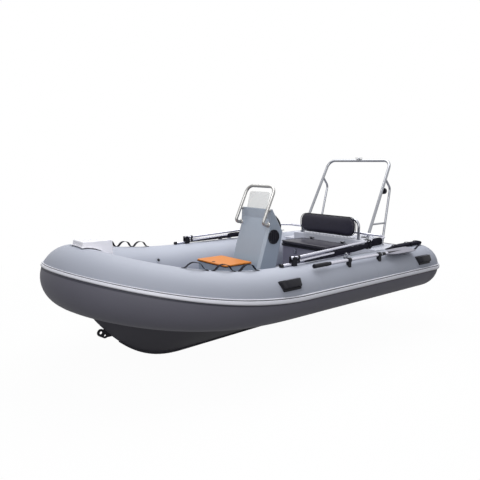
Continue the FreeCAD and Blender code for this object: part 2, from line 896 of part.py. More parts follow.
def arch_hoop():
    foot = arch_point(deck_height)
    corner = arch_point(arch_top_height)
    flip = lambda p: Vector(p.x, -p.y, p.z)
    below = arch_point(deck_height - arch_radius)
    hoop = bent_tube([below, corner, flip(corner), flip(below)], [arch_bend, arch_bend], arch_radius)
    plate = Part.makeCylinder(arch_plate_radius, foot_plate_thickness, foot, up)
    hoop = hoop.fuse([plate, mirrored(plate)])
    return hoop.common(box(-nose_x, nose_x, -nose_x, nose_x, level(deck_height), nose_x))


def arch_brace():
    top = arch_point(brace_top_height)
    y_back = arch_point(brace_back_height).y
    back = Vector(brace_back_x, y_back, level(brace_back_height))
    foot = Vector(brace_foot_x, arch_foot_y, level(ledge_height))
    brace = bent_tube([foot, back, top], [brace_bend], brace_radius)
    share = (arch_tie_height - ledge_height) / (brace_back_height - ledge_height)
    on_brace = foot + (back - foot) * share
    tie = rod(arch_point(arch_tie_height), on_brace, arch_tie_radius)
    plate = Part.makeCylinder(brace_plate_radius, foot_plate_thickness, foot, up)
    body = brace.fuse([tie, plate])
    body = body.common(box(-nose_x, nose_x, -nose_x, nose_x, level(ledge_height), nose_x))
    return body.cut(arch_hoop())


def lamp_mount():
    top = Vector(arch_top_x, 0, level(arch_top_height) + arch_radius / 2)
    stub = Part.makeCylinder(lamp_stub_radius, lamp_stub_height, top, up)
    plate = Part.makeCylinder(lamp_plate_radius, lamp_plate_thickness, top + up * lamp_stub_height, up)
    return stub.fuse(plate).cut(arch_hoop())


def horn():
    seat = arch_point(horn_height)
    back = Vector(-1, 0, 0)
    body = Part.makeCylinder(horn_radius, horn_depth, seat + back * horn_standoff, back)
    stem = rod(seat, seat + back * (horn_standoff + horn_depth / 2), horn_stem_radius)
    leg = rod(arch_point(deck_height), arch_point(arch_top_height), arch_radius + seat_gap)
    return body.fuse(stem).cut(leg)


def canopy_leg_point(x, drop):
    pivot = Vector(canopy_pivot_x, canopy_pivot_y, level(canopy_pivot_height))
    end = Vector(bow_cross_x, bow_cross_y, level(bow_cross_height))
    share = (canopy_pivot_x - x) / (canopy_pivot_x - bow_cross_x)
    return pivot + (end - pivot) * share - up * drop


def canopy_bow():
    pivot = canopy_leg_point(canopy_pivot_x, 0)
    corner = canopy_leg_point(bow_cross_x, 0)
    flip = lambda p: Vector(p.x, -p.y, p.z)
    bow = bent_tube([pivot, corner, flip(corner), flip(pivot)], [bow_bend, bow_bend], bow_radius)
    across = Vector(0, 1, 0)
    eye = Part.makeCylinder(bow_eye_radius, bow_eye_width, pivot - across * (bow_eye_width / 2), across)
    bore_start = pivot - across * bow_eye_width
    bore = Part.makeCylinder(bracket_pin_radius + pin_clearance, 2 * bow_eye_width, bore_start, across)
    bow = bow.fuse([eye, mirrored(eye)])
    return bow.cut(Part.makeCompound([bore, mirrored(bore)]))


def canopy_low_pole():
    start = canopy_leg_point(low_pole_front_x, low_pole_drop)
    end = canopy_leg_point(low_pole_rear_x, low_pole_drop)
    pole = rod(start, end, low_pole_radius)
    link_start = canopy_leg_point(low_pole_link_x, low_pole_drop)
    link_end = canopy_leg_point(low_pole_link_x, 0)
    link = rod(link_start, link_end, low_pole_link_radius)
    return both_sides(pole.fuse(link).cut(canopy_bow()))


def sleeve_outline(x, high, low):
    centre = canopy_leg_point(x, 0)
    corners = ((-1, high), (1, high), (1, low), (-1, low))
    points = [centre + Vector(0, sleeve_half_width * side, -drop) for side, drop in corners]
    return Part.makePolygon(points + [points[0]])


def canopy_sleeve():
    """Rolled black canvas held under each leg of the folded canopy."""
    under_pole = low_pole_drop + low_pole_radius + seat_gap
    front = Part.makeLoft([sleeve_outline(sleeve_front_x, under_pole, under_pole + sleeve_thin),
                           sleeve_outline(low_pole_rear_x, under_pole, under_pole + sleeve_thick)], True, True)
    under_bow = bow_radius + seat_gap
    low = under_pole + sleeve_thick
    rear = Part.makeLoft([sleeve_outline(x, under_bow, low)
                          for x in (low_pole_rear_x - sleeve_gap, sleeve_rear_x)], True, True)
    wrap = Part.makeLoft([sleeve_outline(x, -wrap_top, low) for x in (sleeve_rear_x, wrap_rear_x)], True, True)
    bore = rod(canopy_leg_point(low_pole_rear_x, 0), canopy_leg_point(bow_cross_x, 0), under_bow)
    return both_sides(Part.makeCompound([front, rear.fuse(wrap.cut(bore))]))


def tube_top(x, y):
    """Height of the straight collar tube's surface at one place across."""
    return level(math.sqrt(tube_radius ** 2 - (y - half_spacing) ** 2))


def canopy_brackets(collar):
    pivot = canopy_leg_point(canopy_pivot_x, 0)
    low = level(tube_radius) - cut_overrun
    block = box(pivot.x - bracket_length / 2, pivot.x + bracket_length / 2, pivot.y - bracket_half_width,
                pivot.y + bracket_half_width, low, pivot.z + bow_radius)
    slot_half = bracket_half_width - bracket_wall
    slot = box(pivot.x - bracket_length, pivot.x + bracket_length, pivot.y - slot_half, pivot.y + slot_half,
               level(tube_radius) + bracket_wall, pivot.z + cut_overrun)
    pin_half = slot_half + bracket_wall / 2
    pin = rod(pivot - Vector(0, pin_half, 0), pivot + Vector(0, pin_half, 0), bracket_pin_radius)
    front = Vector(base_tube_front_x, canopy_pivot_y, level(tube_radius) + base_tube_radius)
    back = Vector(pivot.x + bracket_length / 2, canopy_pivot_y, level(tube_radius) + base_tube_radius)
    tube = rod(back, front, base_tube_radius)
    cap = rod(front, front - Vector(base_cap_length, 0, 0), base_cap_radius)
    body = block.cut(slot).fuse([pin, tube, cap]).cut(collar)
    return both_sides(body)


def oar_place(x):
    return Vector(x, oar_y, level(oar_height))


def oar():
    grip = rod(oar_place(oar_grip_front_x), oar_place(oar_grip_rear_x), oar_grip_radius)
    shaft = rod(oar_place(oar_grip_rear_x), oar_place(oar_shaft_rear_x), oar_shaft_radius)
    half = blade_half_width
    points = [Vector(blade_neck_x, -oar_shaft_radius, 0), Vector(blade_shoulder_x, -half, 0),
              Vector(blade_rear_x + blade_corner, -half, 0), Vector(blade_rear_x, -half + blade_corner, 0)]
    other = [Vector(p.x, -p.y, 0) for p in reversed(points)]
    blade = prism(points + other, Vector(0, 0, blade_thickness))
    blade.translate(Vector(0, 0, -blade_thickness / 2))
    blade.rotate(zero, Vector(1, 0, 0), -blade_tilt)
    blade.translate(Vector(0, oar_y, level(oar_height)))
    spine = Part.makeCone(oar_shaft_radius, blade_spine_radius, blade_neck_x - blade_spine_x,
                          oar_place(blade_neck_x), Vector(-1, 0, 0))
    return grip, shaft, blade.fuse(spine)


def oar_clips(collar):
    pieces = []
    for x in oar_clip_xs:
        centre = Vector(x + clip_width / 2, oar_y, level(oar_height))
        along = Vector(-1, 0, 0)
        ring = Part.makeCylinder(oar_shaft_radius + clip_wall, clip_width, centre, along)
        foot = box(x - clip_width / 2, x + clip_width / 2, oar_y - oar_shaft_radius, oar_y + oar_shaft_radius,
                   level(0), level(oar_height))
        bore = Part.makeCylinder(oar_shaft_radius, 2 * clip_width, centre - along * (clip_width / 2), along)
        pieces.append(ring.fuse(foot).cut(bore).cut(collar))
    return both_sides(Part.makeCompound(pieces))


def rowlocks(collar):
    low = tube_top(rowlock_x, rowlock_y)
    foot = Vector(rowlock_x, rowlock_y, low - cut_overrun)
    base = Part.makeCylinder(rowlock_base_radius, rowlock_base_height + cut_overrun, foot, up)
    crown = Vector(rowlock_x, rowlock_y, low + rowlock_base_height)
    neck = Part.makeCylinder(rowlock_collar_radius, rowlock_collar_height, crown, up)
    ring_centre = crown + up * (rowlock_collar_height + rowlock_ring_radius)
    ring = Part.makeTorus(rowlock_ring_radius, rowlock_bar_radius, ring_centre, Vector(1, 0, 0))
    return both_sides(base.fuse([neck, ring]).cut(collar))


def handle_outline(shares, centre, radial, rise, across):
    """A side outline of the handle, at one place across it."""
    along = Vector(1, 0, 0)
    points = [centre + along * a + radial * b + rise * across for a, b in shares]
    return Part.makePolygon(points + [points[0]])


def carry_handle(x, angle):
    """Moulded handle glued on the tube's outer face: a pad and a deep grip, ribbed along its top."""
    slope = math.radians(angle)
    radial = Vector(0, math.cos(slope), math.sin(slope))
    rise = Vector(0, -math.sin(slope), math.cos(slope))
    centre = Vector(x, half_spacing, axis_height) + radial * tube_radius
    half = handle_length / 2
    bevel = handle_base
    pad = [(-half, -handle_base), (half, -handle_base), (half, 0), (half - bevel, handle_base),
           (-half + bevel, handle_base), (-half, 0)]
    solids = []
    for low, top, wide, low_share in (
            (-handle_width / 2, handle_width / 2, pad, 1.0),
            (-handle_grip_width / 2, handle_grip_width / 2, grip_points(half - bevel, handle_rise),
             handle_low_share),
            (-handle_width / 2, handle_width / 2, grip_points(half - handle_end, handle_rise - handle_grip),
             1.0)):
        lower = [(a * low_share, b) for a, b in wide]
        outlines = [handle_outline(lower, centre, radial, rise, low),
                    handle_outline(wide, centre, radial, rise, top)]
        solids.append(Part.makeLoft(outlines, True, True))
    body, grip, hole = solids
    return body.fuse(grip.cut(hole)).fuse(handle_ribs(centre, radial, rise))


def grip_points(half, height):
    """Outline of the grip, or of the gap under it: a flat top on sloping ends."""
    inner = half - height / 2
    return [(-half, handle_base), (half, handle_base), (inner, height), (-inner, height)]


def handle_ribs(centre, radial, rise):
    """Short ribs across the grip's upper ledge."""
    span = handle_length - 2 * handle_end - handle_rise
    ribs = []
    for i in range(handle_rib_count):
        a = span * (i / (handle_rib_count - 1) - 1 / 2)
        start = centre + Vector(a - handle_rib, 0, 0) + radial * (handle_rise - handle_grip + handle_rib / 2)
        start = start + rise * (handle_grip_width / 2 - handle_rib)
        corners = [start, start + radial * (handle_grip - handle_rib), start + radial * (handle_grip - handle_rib)
                   + rise * (2 * handle_rib), start + rise * (2 * handle_rib)]
        ribs.append(prism(corners, Vector(2 * handle_rib, 0, 0)))
    return ribs


def carry_handles(collar):
    handles = [carry_handle(x, angle).cut(collar) for x, angle in zip(handle_xs, handle_angles)]
    return both_sides(Part.makeCompound(handles))


def grab_strap(share):
    """Webbing loop standing on the bow tube's crown."""
    turn = quarter_turn * share
    centre, tangent, outward, upward, radius = tube_frame(turn)
    crown = centre + upward * radius
    half = strap_length / 2
    lift = strap_thickness / 2 + seat_gap
    flat = half * strap_top_share
    path = [(-half - strap_foot, lift), (-half, lift), (-flat, strap_rise), (flat, strap_rise),
            (half, lift), (half + strap_foot, lift)]
    points = [crown + tangent * a + upward * b for a, b in path]
    thick = strap_thickness
    outer = [p + upward * (thick / 2) for p in points]
    inner = [p - upward * (thick / 2) for p in reversed(points)]
    ring = [p - outward * (strap_width / 2) for p in outer + inner]
    return prism(ring, outward * strap_width)


def grab_straps(collar):
    port = [grab_strap(share).cut(collar) for share in strap_near_shares]
    other = [mirrored(grab_strap(share)).cut(collar) for share in strap_far_shares]
    return Part.makeCompound(port + other)


def rolled_cover():
    """Rolled cover lying on the port tube's crown at the stern."""
    stations = ((cover_roll_front_x, cover_roll_thin), (cover_roll_mid_x, cover_roll_height),
                (cover_roll_rear_x, cover_roll_height))
    outlines = []
    for x, height in stations:
        foot = cover_roll_half_width * height / cover_roll_height
        crown = foot * cover_roll_top_share
        low = level(tube_radius) + seat_gap
        points = [Vector(x, half_spacing - foot, low), Vector(x, half_spacing + foot, low),
                  Vector(x, half_spacing + crown, low + height), Vector(x, half_spacing - crown, low + height)]
        outlines.append(Part.makePolygon(points + [points[0]]))
    return Part.makeLoft(outlines, True, True)


def bow_step(collar):
    """Moulded step seated over the bow tube, with a thin flange glued to the tube round its foot."""
    outlines = []
    for height, width in ((step_foot_height, step_foot_half_width), (step_top_height, step_top_half_width)):
        spread = width - step_top_half_width
        front = step_front_x + spread
        points = [Vector(step_rear_x, -width, level(height)), Vector(front, -width, level(height)),
                  Vector(front, width, level(height)), Vector(step_rear_x, width, level(height))]
        outlines.append(Part.makePolygon(points + [points[0]]))
    body = Part.makeLoft(outlines, True, True)
    edges = [e for e in body.Edges if e.CenterOfMass.z > level(step_foot_height) + step_fillet]
    body = body.makeFillet(step_fillet, edges)
    return body.cut(Part.makeCompound(step_grooves())).cut(collar).fuse(step_rim(collar))


def step_grooves():
    """Anti-slip grooves across the step's top."""
    first = step_rear_x + step_groove_margin
    pitch = (step_front_x - step_groove_margin - step_groove_width - first) / (step_groove_count - 1)
    across = step_top_half_width - step_groove_margin
    top = level(step_top_height)
    return [box(first + pitch * i, first + pitch * i + step_groove_width, -across, across,
                top - step_groove_depth, top + cut_overrun) for i in range(step_groove_count)]


def step_rim(collar):
    """Flange that follows the tube, as deep as the moulding is thick."""
    rings = [Part.Wire([Part.Circle(centre, tangent, radius + step_flange_thickness).toShape()])
             for centre, tangent, outward, upward, radius in bow_frames()]
    skin = Part.makeLoft(rings, True, False)
    across = step_foot_half_width + step_flange
    foot = box(step_rear_x - step_flange, step_front_x + step_flange, -across, across,
               level(step_foot_height) - step_flange, level(step_top_height))
    return foot.common(skin).cut(collar)


def bow_eye(hull_solid, collar):
    """Towing plate on the stem: a large and a small eye in one plate, rooted in the hull."""
    across = Vector(0, 1, 0)
    start = -eye_thickness / 2
    upper = Vector(eye_x, start, level(-eye_drop))
    lower = Vector(eye_low_x, start, level(-eye_low_drop))
    along = (lower - upper).normalize()
    outward = Vector(-along.z, 0, along.x)
    if outward.x < 0:
        outward = outward * -1
    root = Vector(-eye_root_length, 0, 0)
    high_edge = upper + outward * eye_radius
    low_edge = lower + outward * eye_low_radius
    web = prism([high_edge, low_edge, low_edge + root, high_edge + root], across * eye_thickness)
    lugs = [Part.makeCylinder(eye_radius, eye_thickness, upper, across),
            Part.makeCylinder(eye_low_radius, eye_thickness, lower, across)]
    inner_edge = upper - outward * eye_radius
    upper_web = prism([inner_edge + root, high_edge + root, high_edge, inner_edge], across * eye_thickness)
    web = web.fuse(upper_web)
    holes = [Part.makeCylinder(eye_hole_radius, 2 * cut_overrun, upper - across * cut_overrun, across),
             Part.makeCylinder(eye_low_hole_radius, 2 * cut_overrun, lower - across * cut_overrun, across)]
    return web.fuse(lugs).cut(Part.makeCompound(holes)).cut(hull_solid).cut(collar)


def main():
    os.makedirs("parts", exist_ok=True)
    bow = collar_bow()
    port = collar_side()
    star = mirrored(port)
    collar = Part.makeCompound([bow, port, star])
    save("collar_bow", bow)
    save("collar_port", port)
    save("collar_starboard", star)
    save("rub_strake", rub_strake())
    body = hull(collar)
    save("hull", body)
    save("keel_band", keel_band(body))
    save("floor", floor(collar))
    save("transom", transom(collar))
    save("aft_deck", aft_deck(collar))
    save("console", console())
    save("side_covers", side_covers())
    save("helm_boss", helm_boss())
    save("steering_wheel", steering_wheel())
    save("throttle", throttle())
    save("console_rail", console_rail())
    save("windscreen", windscreen())
    save("seat_box", seat_box())
    save("seat_lid", seat_lid())
    save("seat_hinges", seat_hinges())
    save("seat_cushion", seat_cushion())
    save("seat_latch", seat_latch())
    save("backrest_frame", backrest_frame())
    save("backrest_pad", backrest_pad())
    save("front_locker", front_locker())
    save("locker_lid", locker_lid())
    save("locker_hinges", locker_hinges())
    save("arch_hoop", arch_hoop())
    brace = arch_brace()
    save("arch_brace_port", brace)
    save("arch_brace_starboard", mirrored(brace))
    save("lamp_mount", lamp_mount())
    save("horn", horn())
    save("canopy_bow", canopy_bow())
    save("canopy_low_poles", canopy_low_pole())
    save("canopy_sleeves", canopy_sleeve())
    save("canopy_brackets", canopy_brackets(collar))
    grip, shaft, blade = oar()
    save("oar_grips", both_sides(grip))
    save("oar_shafts", both_sides(shaft))
    save("oar_blades", both_sides(blade.cut(shaft)))
    save("oar_clips", oar_clips(collar))
    save("rowlocks", rowlocks(collar))
    save("carry_handles", carry_handles(collar))
    save("grab_straps", grab_straps(collar))
    save("rolled_cover", rolled_cover())
    save("bow_step", bow_step(collar))
    save("bow_eye", bow_eye(body, collar))


main()
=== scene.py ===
import bmesh
import bpy
import json
import math
import numpy as np
from mathutils import Matrix, Vector, noise


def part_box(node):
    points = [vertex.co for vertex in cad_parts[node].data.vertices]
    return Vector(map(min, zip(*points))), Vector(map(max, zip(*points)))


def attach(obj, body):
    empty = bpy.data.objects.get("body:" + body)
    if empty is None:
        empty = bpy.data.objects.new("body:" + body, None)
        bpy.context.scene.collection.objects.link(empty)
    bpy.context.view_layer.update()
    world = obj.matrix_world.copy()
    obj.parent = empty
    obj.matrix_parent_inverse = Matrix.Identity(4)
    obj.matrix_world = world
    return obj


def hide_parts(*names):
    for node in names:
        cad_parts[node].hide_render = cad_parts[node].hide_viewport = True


# Inflatable rib boat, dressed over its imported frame. Metres, +X bow, +Y port, +Z up.

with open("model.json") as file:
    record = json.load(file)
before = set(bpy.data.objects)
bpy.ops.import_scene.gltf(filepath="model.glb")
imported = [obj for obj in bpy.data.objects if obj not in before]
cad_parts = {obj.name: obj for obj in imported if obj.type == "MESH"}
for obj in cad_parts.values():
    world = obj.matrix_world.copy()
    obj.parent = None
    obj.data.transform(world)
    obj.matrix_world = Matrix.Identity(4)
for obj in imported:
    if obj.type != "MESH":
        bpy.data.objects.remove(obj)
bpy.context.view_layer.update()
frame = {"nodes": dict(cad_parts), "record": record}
nodes = frame["nodes"]
print("frame loaded", len(nodes))


# Selecting and finishing

setMode = bpy.ops.object.mode_set


def link(piece):
    bpy.context.scene.collection.objects.link(piece)
    return piece


def clearSelection():
    if bpy.context.object and bpy.context.object.mode != "OBJECT":
        setMode(mode="OBJECT")
    bpy.ops.object.select_all(action="DESELECT")


def activate(piece):
    clearSelection()
    piece.select_set(True)
    bpy.context.view_layer.objects.active = piece


def pick(piece, kind, test):  # in edit mode, selects the faces or edges that pass the test
    bpy.ops.mesh.select_mode(type=kind)
    bpy.ops.mesh.select_all(action="DESELECT")
    mesh = bmesh.from_edit_mesh(piece.data)
    for element in (mesh.faces if kind == "FACE" else mesh.edges):
        element.select_set(test(element))
    mesh.select_flush_mode()
    bmesh.update_edit_mesh(piece.data)


def started(scale=(1, 1, 1)):  # the shape just added, with its place, turn and scale in the mesh
    piece = bpy.context.object
    piece.scale = scale
    activate(piece)
    bpy.ops.object.transform_apply(location=True, rotation=True, scale=True)
    return piece


def addModifier(piece, kind, **settings):
    modifier = piece.modifiers.new(kind.lower(), kind)
    for name, value in settings.items():
        setattr(modifier, name, value)
    activate(piece)
    bpy.ops.object.modifier_apply(modifier=modifier.name)
    return piece


def roundOff(piece):
    return addModifier(piece, "SUBSURF", levels=1, render_levels=1)


def placed(piece, matrix):
    piece.data.transform(matrix)
    return piece


def copyOf(piece, matrix):  # a copy with its own mesh, moved by a matrix
    twin = piece.copy()
    twin.data = piece.data.copy()
    return placed(link(twin), matrix)


def dress(name, pieces, slotName, degrees=35, body="boat", stands=(), material=None):  # joined, smooth, finished
    clearSelection()
    for piece in pieces:
        piece.select_set(True)
    piece = pieces[0]
    bpy.context.view_layer.objects.active = piece
    if len(pieces) > 1:
        bpy.ops.object.join()
    piece.name = piece.data.name = name
    if degrees:
        bpy.ops.object.shade_smooth_by_angle(angle=math.radians(degrees))
    piece.data.materials.clear()
    piece.data.materials.append(material or finishes[slotName])
    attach(piece, body)
    if stands:
        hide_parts(*stands)
    return piece


def mark(piece, name, values):  # a number for each point, for the finishes to read
    piece.data.attributes.new(name, "FLOAT", "POINT").data.foreach_set("value", values)


# Places and turns

def mix(first, second, share):
    return first + (second - first) * share


def sided(place, side):  # a port place, kept for side 1 and mirrored for side -1
    return Vector((place[0], side * place[1], place[2]))


def at(*place):
    return Matrix.Translation(place)


def spin(angle, axis="Z"):
    return Matrix.Rotation(angle, 4, axis)


def turns(count, start):  # equal turns of a full circle
    return [start + 2 * math.pi * k / count for k in range(count)]


def stand(place, up, along=None):  # matrix with Z up, X along and its origin at a place
    z = Vector(up).normalized()
    y = z.cross(Vector(along or ((0, 0, 1) if abs(z.z) < 0.5 else (1, 0, 0)))).normalized()
    matrix = Matrix((y.cross(z), y, z)).transposed().to_4x4()
    matrix.translation = Vector(place)
    return matrix


def slant(outward, upward, turn):
    return outward * math.cos(turn) + upward * math.sin(turn)


# Starting shapes

def loft(rings, caps=True, tip=None):  # a skin over rings of points, closed by caps or by a fan to a tip
    mesh = bmesh.new()
    rows = [[mesh.verts.new(point) for point in ring] for ring in rings]
    count = len(rows[0])
    for first, second in zip(rows, rows[1:]):
        for i in range(count):
            j = (i + 1) % count
            mesh.faces.new((first[i], first[j], second[j], second[i]))
    if tip is not None:
        tip = mesh.verts.new(tip)
        for i in range(count):
            mesh.faces.new((rows[-1][i], rows[-1][(i + 1) % count], tip))
    elif caps:
        mesh.faces.new(rows[-1])
    if caps:
        mesh.faces.new(list(reversed(rows[0])))
    bmesh.ops.recalc_face_normals(mesh, faces=mesh.faces)
    data = bpy.data.meshes.new("skin")
    mesh.to_mesh(data)
    mesh.free()
    return link(bpy.data.objects.new("skin", data))


def turned(steps, sides, matrix=Matrix()):  # a round piece about Z, from steps of radius and height
    clearSelection()
    radius, height = steps[0]
    bpy.ops.mesh.primitive_circle_add(vertices=sides, radius=radius, fill_type="NGON", location=(0, 0, height))
    piece = started()
    setMode(mode="EDIT")
    bpy.ops.mesh.select_mode(type="FACE")
    bpy.ops.mesh.select_all(action="SELECT")
    for (wide, low), (nextWide, nextHigh) in zip(steps, steps[1:]):
        bpy.ops.mesh.extrude_region_move(TRANSFORM_OT_translate={"value": (0, 0, nextHigh - low)})
        share = nextWide / wide
        bpy.ops.transform.resize(value=(share, share, 1), center_override=(0, 0, nextHigh))
    bpy.ops.mesh.select_all(action="SELECT")
    bpy.ops.mesh.normals_make_consistent(inside=False)
    setMode(mode="OBJECT")
    return placed(piece, matrix)


def block(size, matrix=Matrix(), bevel=0.001, segments=2):  # a rounded block
    clearSelection()
    bpy.ops.mesh.primitive_cube_add(size=1)
    piece = started(size)
    setMode(mode="EDIT")
    bpy.ops.mesh.select_all(action="SELECT")
    bpy.ops.mesh.bevel(offset=bevel, segments=segments, affect="EDGES")
    setMode(mode="OBJECT")
    return placed(piece, matrix)


def roundRect(halfWide, halfHigh, corner, steps):
    points = []
    for k, (sx, sy) in enumerate(((1, 1), (-1, 1), (-1, -1), (1, -1))):
        for i in range(steps + 1):
            turn = math.pi / 2 * (k + i / steps)
            points.append((sx * (halfWide - corner) + corner * math.cos(turn),
                           sy * (halfHigh - corner) + corner * math.sin(turn)))
    return points


def curveLine(places, kind, **settings):  # a curve through places, and its spline
    curve = bpy.data.curves.new("line", "CURVE")
    curve.dimensions = "3D"
    for key, value in settings.items():
        setattr(curve, key, value)
    spline = curve.splines.new(kind)
    points = spline.points if kind == "POLY" else spline.bezier_points
    points.add(len(places) - 1)
    for point, place in zip(points, places):
        point.co = (*place, 1) if kind == "POLY" else place
    return link(bpy.data.objects.new("line", curve)), spline


def meshOf(curve):
    activate(curve)
    bpy.ops.object.convert(target="MESH")
    return bpy.context.object


def sweep(line, sides):  # a round tube along a line of places and radii
    tube, spline = curveLine([place for place, radius in line], "POLY", twist_mode="Z_UP", bevel_depth=1.0,
                             bevel_resolution=sides // 4 - 1, use_fill_caps=True)
    for point, (place, radius) in zip(spline.points, line):
        point.radius = radius
    return meshOf(tube)


def spread(points, steps):  # more points on a smooth line through the given ones
    holder, spline = curveLine(points, "BEZIER")
    for knot in spline.bezier_points:
        knot.handle_left_type = knot.handle_right_type = "AUTO"
    spline.resolution_u = steps
    line = meshOf(holder)
    places = [vertex.co.copy() for vertex in line.data.vertices]
    bpy.data.objects.remove(line)
    return places


def ribbon(places, hub, width, thick):  # flat webbing through places, facing away from the hub of each
    rings = []
    for i, place in enumerate(places):
        ahead = places[min(i + 1, len(places) - 1)] - places[max(i - 1, 0)]
        side = (place - hub(place)).cross(ahead).normalized()
        face = ahead.cross(side).normalized()
        rings.append([place + side * a * width / 2 + face * b * thick / 2
                      for a, b in ((1, 1), (-1, 1), (-1, -1), (1, -1))])
    return addModifier(loft(rings), "BEVEL", width=thick * 0.3, segments=1, limit_method="ANGLE")


# Shader maths: one socket of a node tree

class Shade:
    def __init__(self, tree, socket=None):
        self.tree, self.socket = tree, socket

    def node(self, kind, sockets=None, out=0, **settings):
        made = self.tree.nodes.new("ShaderNode" + kind)
        for name, value in settings.items():
            setattr(made, name, value)
        for name, value in (sockets or {}).items():
            target = made.inputs[name]
            if isinstance(value, Shade):
                self.tree.links.new(value.socket, target)
            elif hasattr(value, "__len__") and len(value) == 3 and len(target.default_value) == 4:
                target.default_value = (*value, 1)
            else:
                target.default_value = value
        return Shade(self.tree, made.outputs[out] if len(made.outputs) else None)

    def maths(self, operation, *others):
        return self.node("Math", dict(enumerate((self, *others))), operation=operation)

    def __add__(self, other):
        return self.maths("ADD", other)

    def __sub__(self, other):
        return self.maths("SUBTRACT", other)

    def __rsub__(self, other):
        return self.node("Math", {0: other, 1: self}, operation="SUBTRACT")

    def __mul__(self, other):
        return self.maths("MULTIPLY", other)

    __radd__, __rmul__ = __add__, __mul__

    def step(self, low, high):  # 0 below low, 1 above high, smooth between
        return self.node("MapRange", {0: self, 1: low, 2: high, 3: 0.0, 4: 1.0},
                         interpolation_type="SMOOTHSTEP")

    def tint(self, first, second):  # the first colour at 0, the second at 1
        return self.node("Mix", {0: self, 6: first, 7: second}, out=2, data_type="RGBA")

    def vary(self, tone, low, high):  # one tone between two shares of itself
        return self.tint(tuple(low * c for c in tone), tuple(high * c for c in tone))

    def place(self):
        return self.node("TexCoord", out=3)

    def axis(self, index):
        return self.node("SeparateXYZ", {0: self.place()}, out=index)

    def attribute(self, name):
        return self.node("Attribute", out=2, attribute_name=name)

    def noise(self, scale, detail=3.0, roughness=0.55, stretch=(1, 1, 1)):
        placed = self.node("Mapping", {"Vector": self.place(), "Scale": stretch})
        return self.node("TexNoise", {"Vector": placed, "Scale": scale, "Detail": detail,
                                                "Roughness": roughness})

    def wave(self, way, scale, distortion, **more):
        sockets = {"Vector": self.place(), "Scale": scale, "Distortion": distortion, **more}
        return self.node("TexWave", sockets, bands_direction=way)

    def bump(self, height, strength, distance, normal=None):
        sockets = {"Height": height, "Strength": strength, "Distance": distance}
        if normal:
            sockets["Normal"] = normal
        return self.node("Bump", sockets)


def newFinish(name):
    material = bpy.data.materials.new(name)
    material.use_nodes = True
    material.node_tree.nodes.clear()
    return material, Shade(material.node_tree)


def closeFinish(material, **sockets):
    names = {"colour": "Base Color", "roughness": "Roughness", "metallic": "Metallic", "normal": "Normal",
             "coat": "Coat Weight", "coatRoughness": "Coat Roughness", "specular": "Specular IOR Level",
             "alpha": "Alpha"}
    shade = Shade(material.node_tree)
    surface = shade.node("BsdfPrincipled", {names[key]: value for key, value in sockets.items()})
    shade.node("OutputMaterial", {"Surface": surface})
    return material


def srgb(red, green, blue):
    return tuple((value / 255 / 12.92) if value < 11 else ((value / 255 + 0.055) / 1.055) ** 2.4
                 for value in (red, green, blue))


# Finishes

def tubeFinish(name, light, dark):  # coated fabric, light above the strake and dark below
    material, shade = newFinish(name)
    split = shade.attribute("overStrake").step(-0.002, 0.002)
    cloud = shade.noise(2.2, 2.0)
    weave = shade.bump(shade.noise(420.0, 2.0, 0.6), 0.12, 0.0006)
    return closeFinish(material, colour=split.tint(cloud.vary(dark, 0.9, 1.1), cloud.vary(light, 0.94, 1.05)),
                       roughness=0.5 + cloud * 0.12, specular=0.3,
                       normal=shade.bump(shade.noise(5.0, 2.0, 0.5), 0.25, 0.004, weave))


def mouldedFinish(name, tone, rough, coat=0.0, grain=0.06, scale=160.0, vary=0.08, gloss=0.5):
    material, shade = newFinish(name)
    cloud = shade.noise(6.0)
    return closeFinish(material, colour=cloud.vary(tone, 1 - vary, 1 + vary), roughness=(rough - 0.05) + cloud * 0.1,
                       normal=shade.bump(shade.noise(scale, 3.0, 0.6), grain, 0.001), coat=coat,
                       coatRoughness=0.12, specular=gloss)


def metalFinish(name, tone, rough):
    material, shade = newFinish(name)
    streaks = shade.noise(240.0, 3.0, 0.6)
    return closeFinish(material, colour=shade.noise(5.0, 2.0).vary(tone, 0.92, 1.0), metallic=1.0,
                       roughness=rough + streaks * 0.04, normal=shade.bump(streaks, 0.006, 0.0002))


def vinylFinish(name, tone):  # glossy marine vinyl with a fine leather grain
    material, shade = newFinish(name)
    cells = shade.node("TexVoronoi", {"Vector": shade.place(), "Scale": 420.0},
                       feature="DISTANCE_TO_EDGE")
    creases = shade.noise(26.0, 4.0, 0.6)
    grain = shade.bump(cells.step(0.0, 0.12), 0.08, 0.0004)
    return closeFinish(material, colour=creases.vary(tone, 1.0, 1.5), roughness=0.3 + creases * 0.1,
                       normal=shade.bump(creases, 0.12, 0.002, grain), specular=0.34)


def canvasFinish(name, tone):  # acrylic canvas, plain weave
    material, shade = newFinish(name)
    warp, weft = (shade.wave(way, 520.0, 0.4) for way in ("X", "Y"))
    cloud = shade.noise(18.0, 4.0, 0.6)
    weave = shade.bump(warp * weft, 0.3, 0.0005)
    return closeFinish(material, colour=cloud.vary(tone, 1.0, 1.9), roughness=0.8 + cloud * 0.1,
                       normal=shade.bump(cloud, 0.3, 0.004, weave), specular=0.12)


def woodFinish(name, pale, deep):  # varnished board, grain along the boat's beam
    material, shade = newFinish(name)
    rings = shade.noise(34.0, 5.0, 0.65, (1.0, 0.12, 1.0))
    grain = shade.wave("X", 9.0, 5.0, Detail=3.0, **{"Detail Scale": 1.2})
    return closeFinish(material, colour=(rings * 0.7 + grain * 0.3).tint(deep, pale), specular=0.12,
                       roughness=0.34 + rings * 0.12, normal=shade.bump(rings, 0.08, 0.0006))


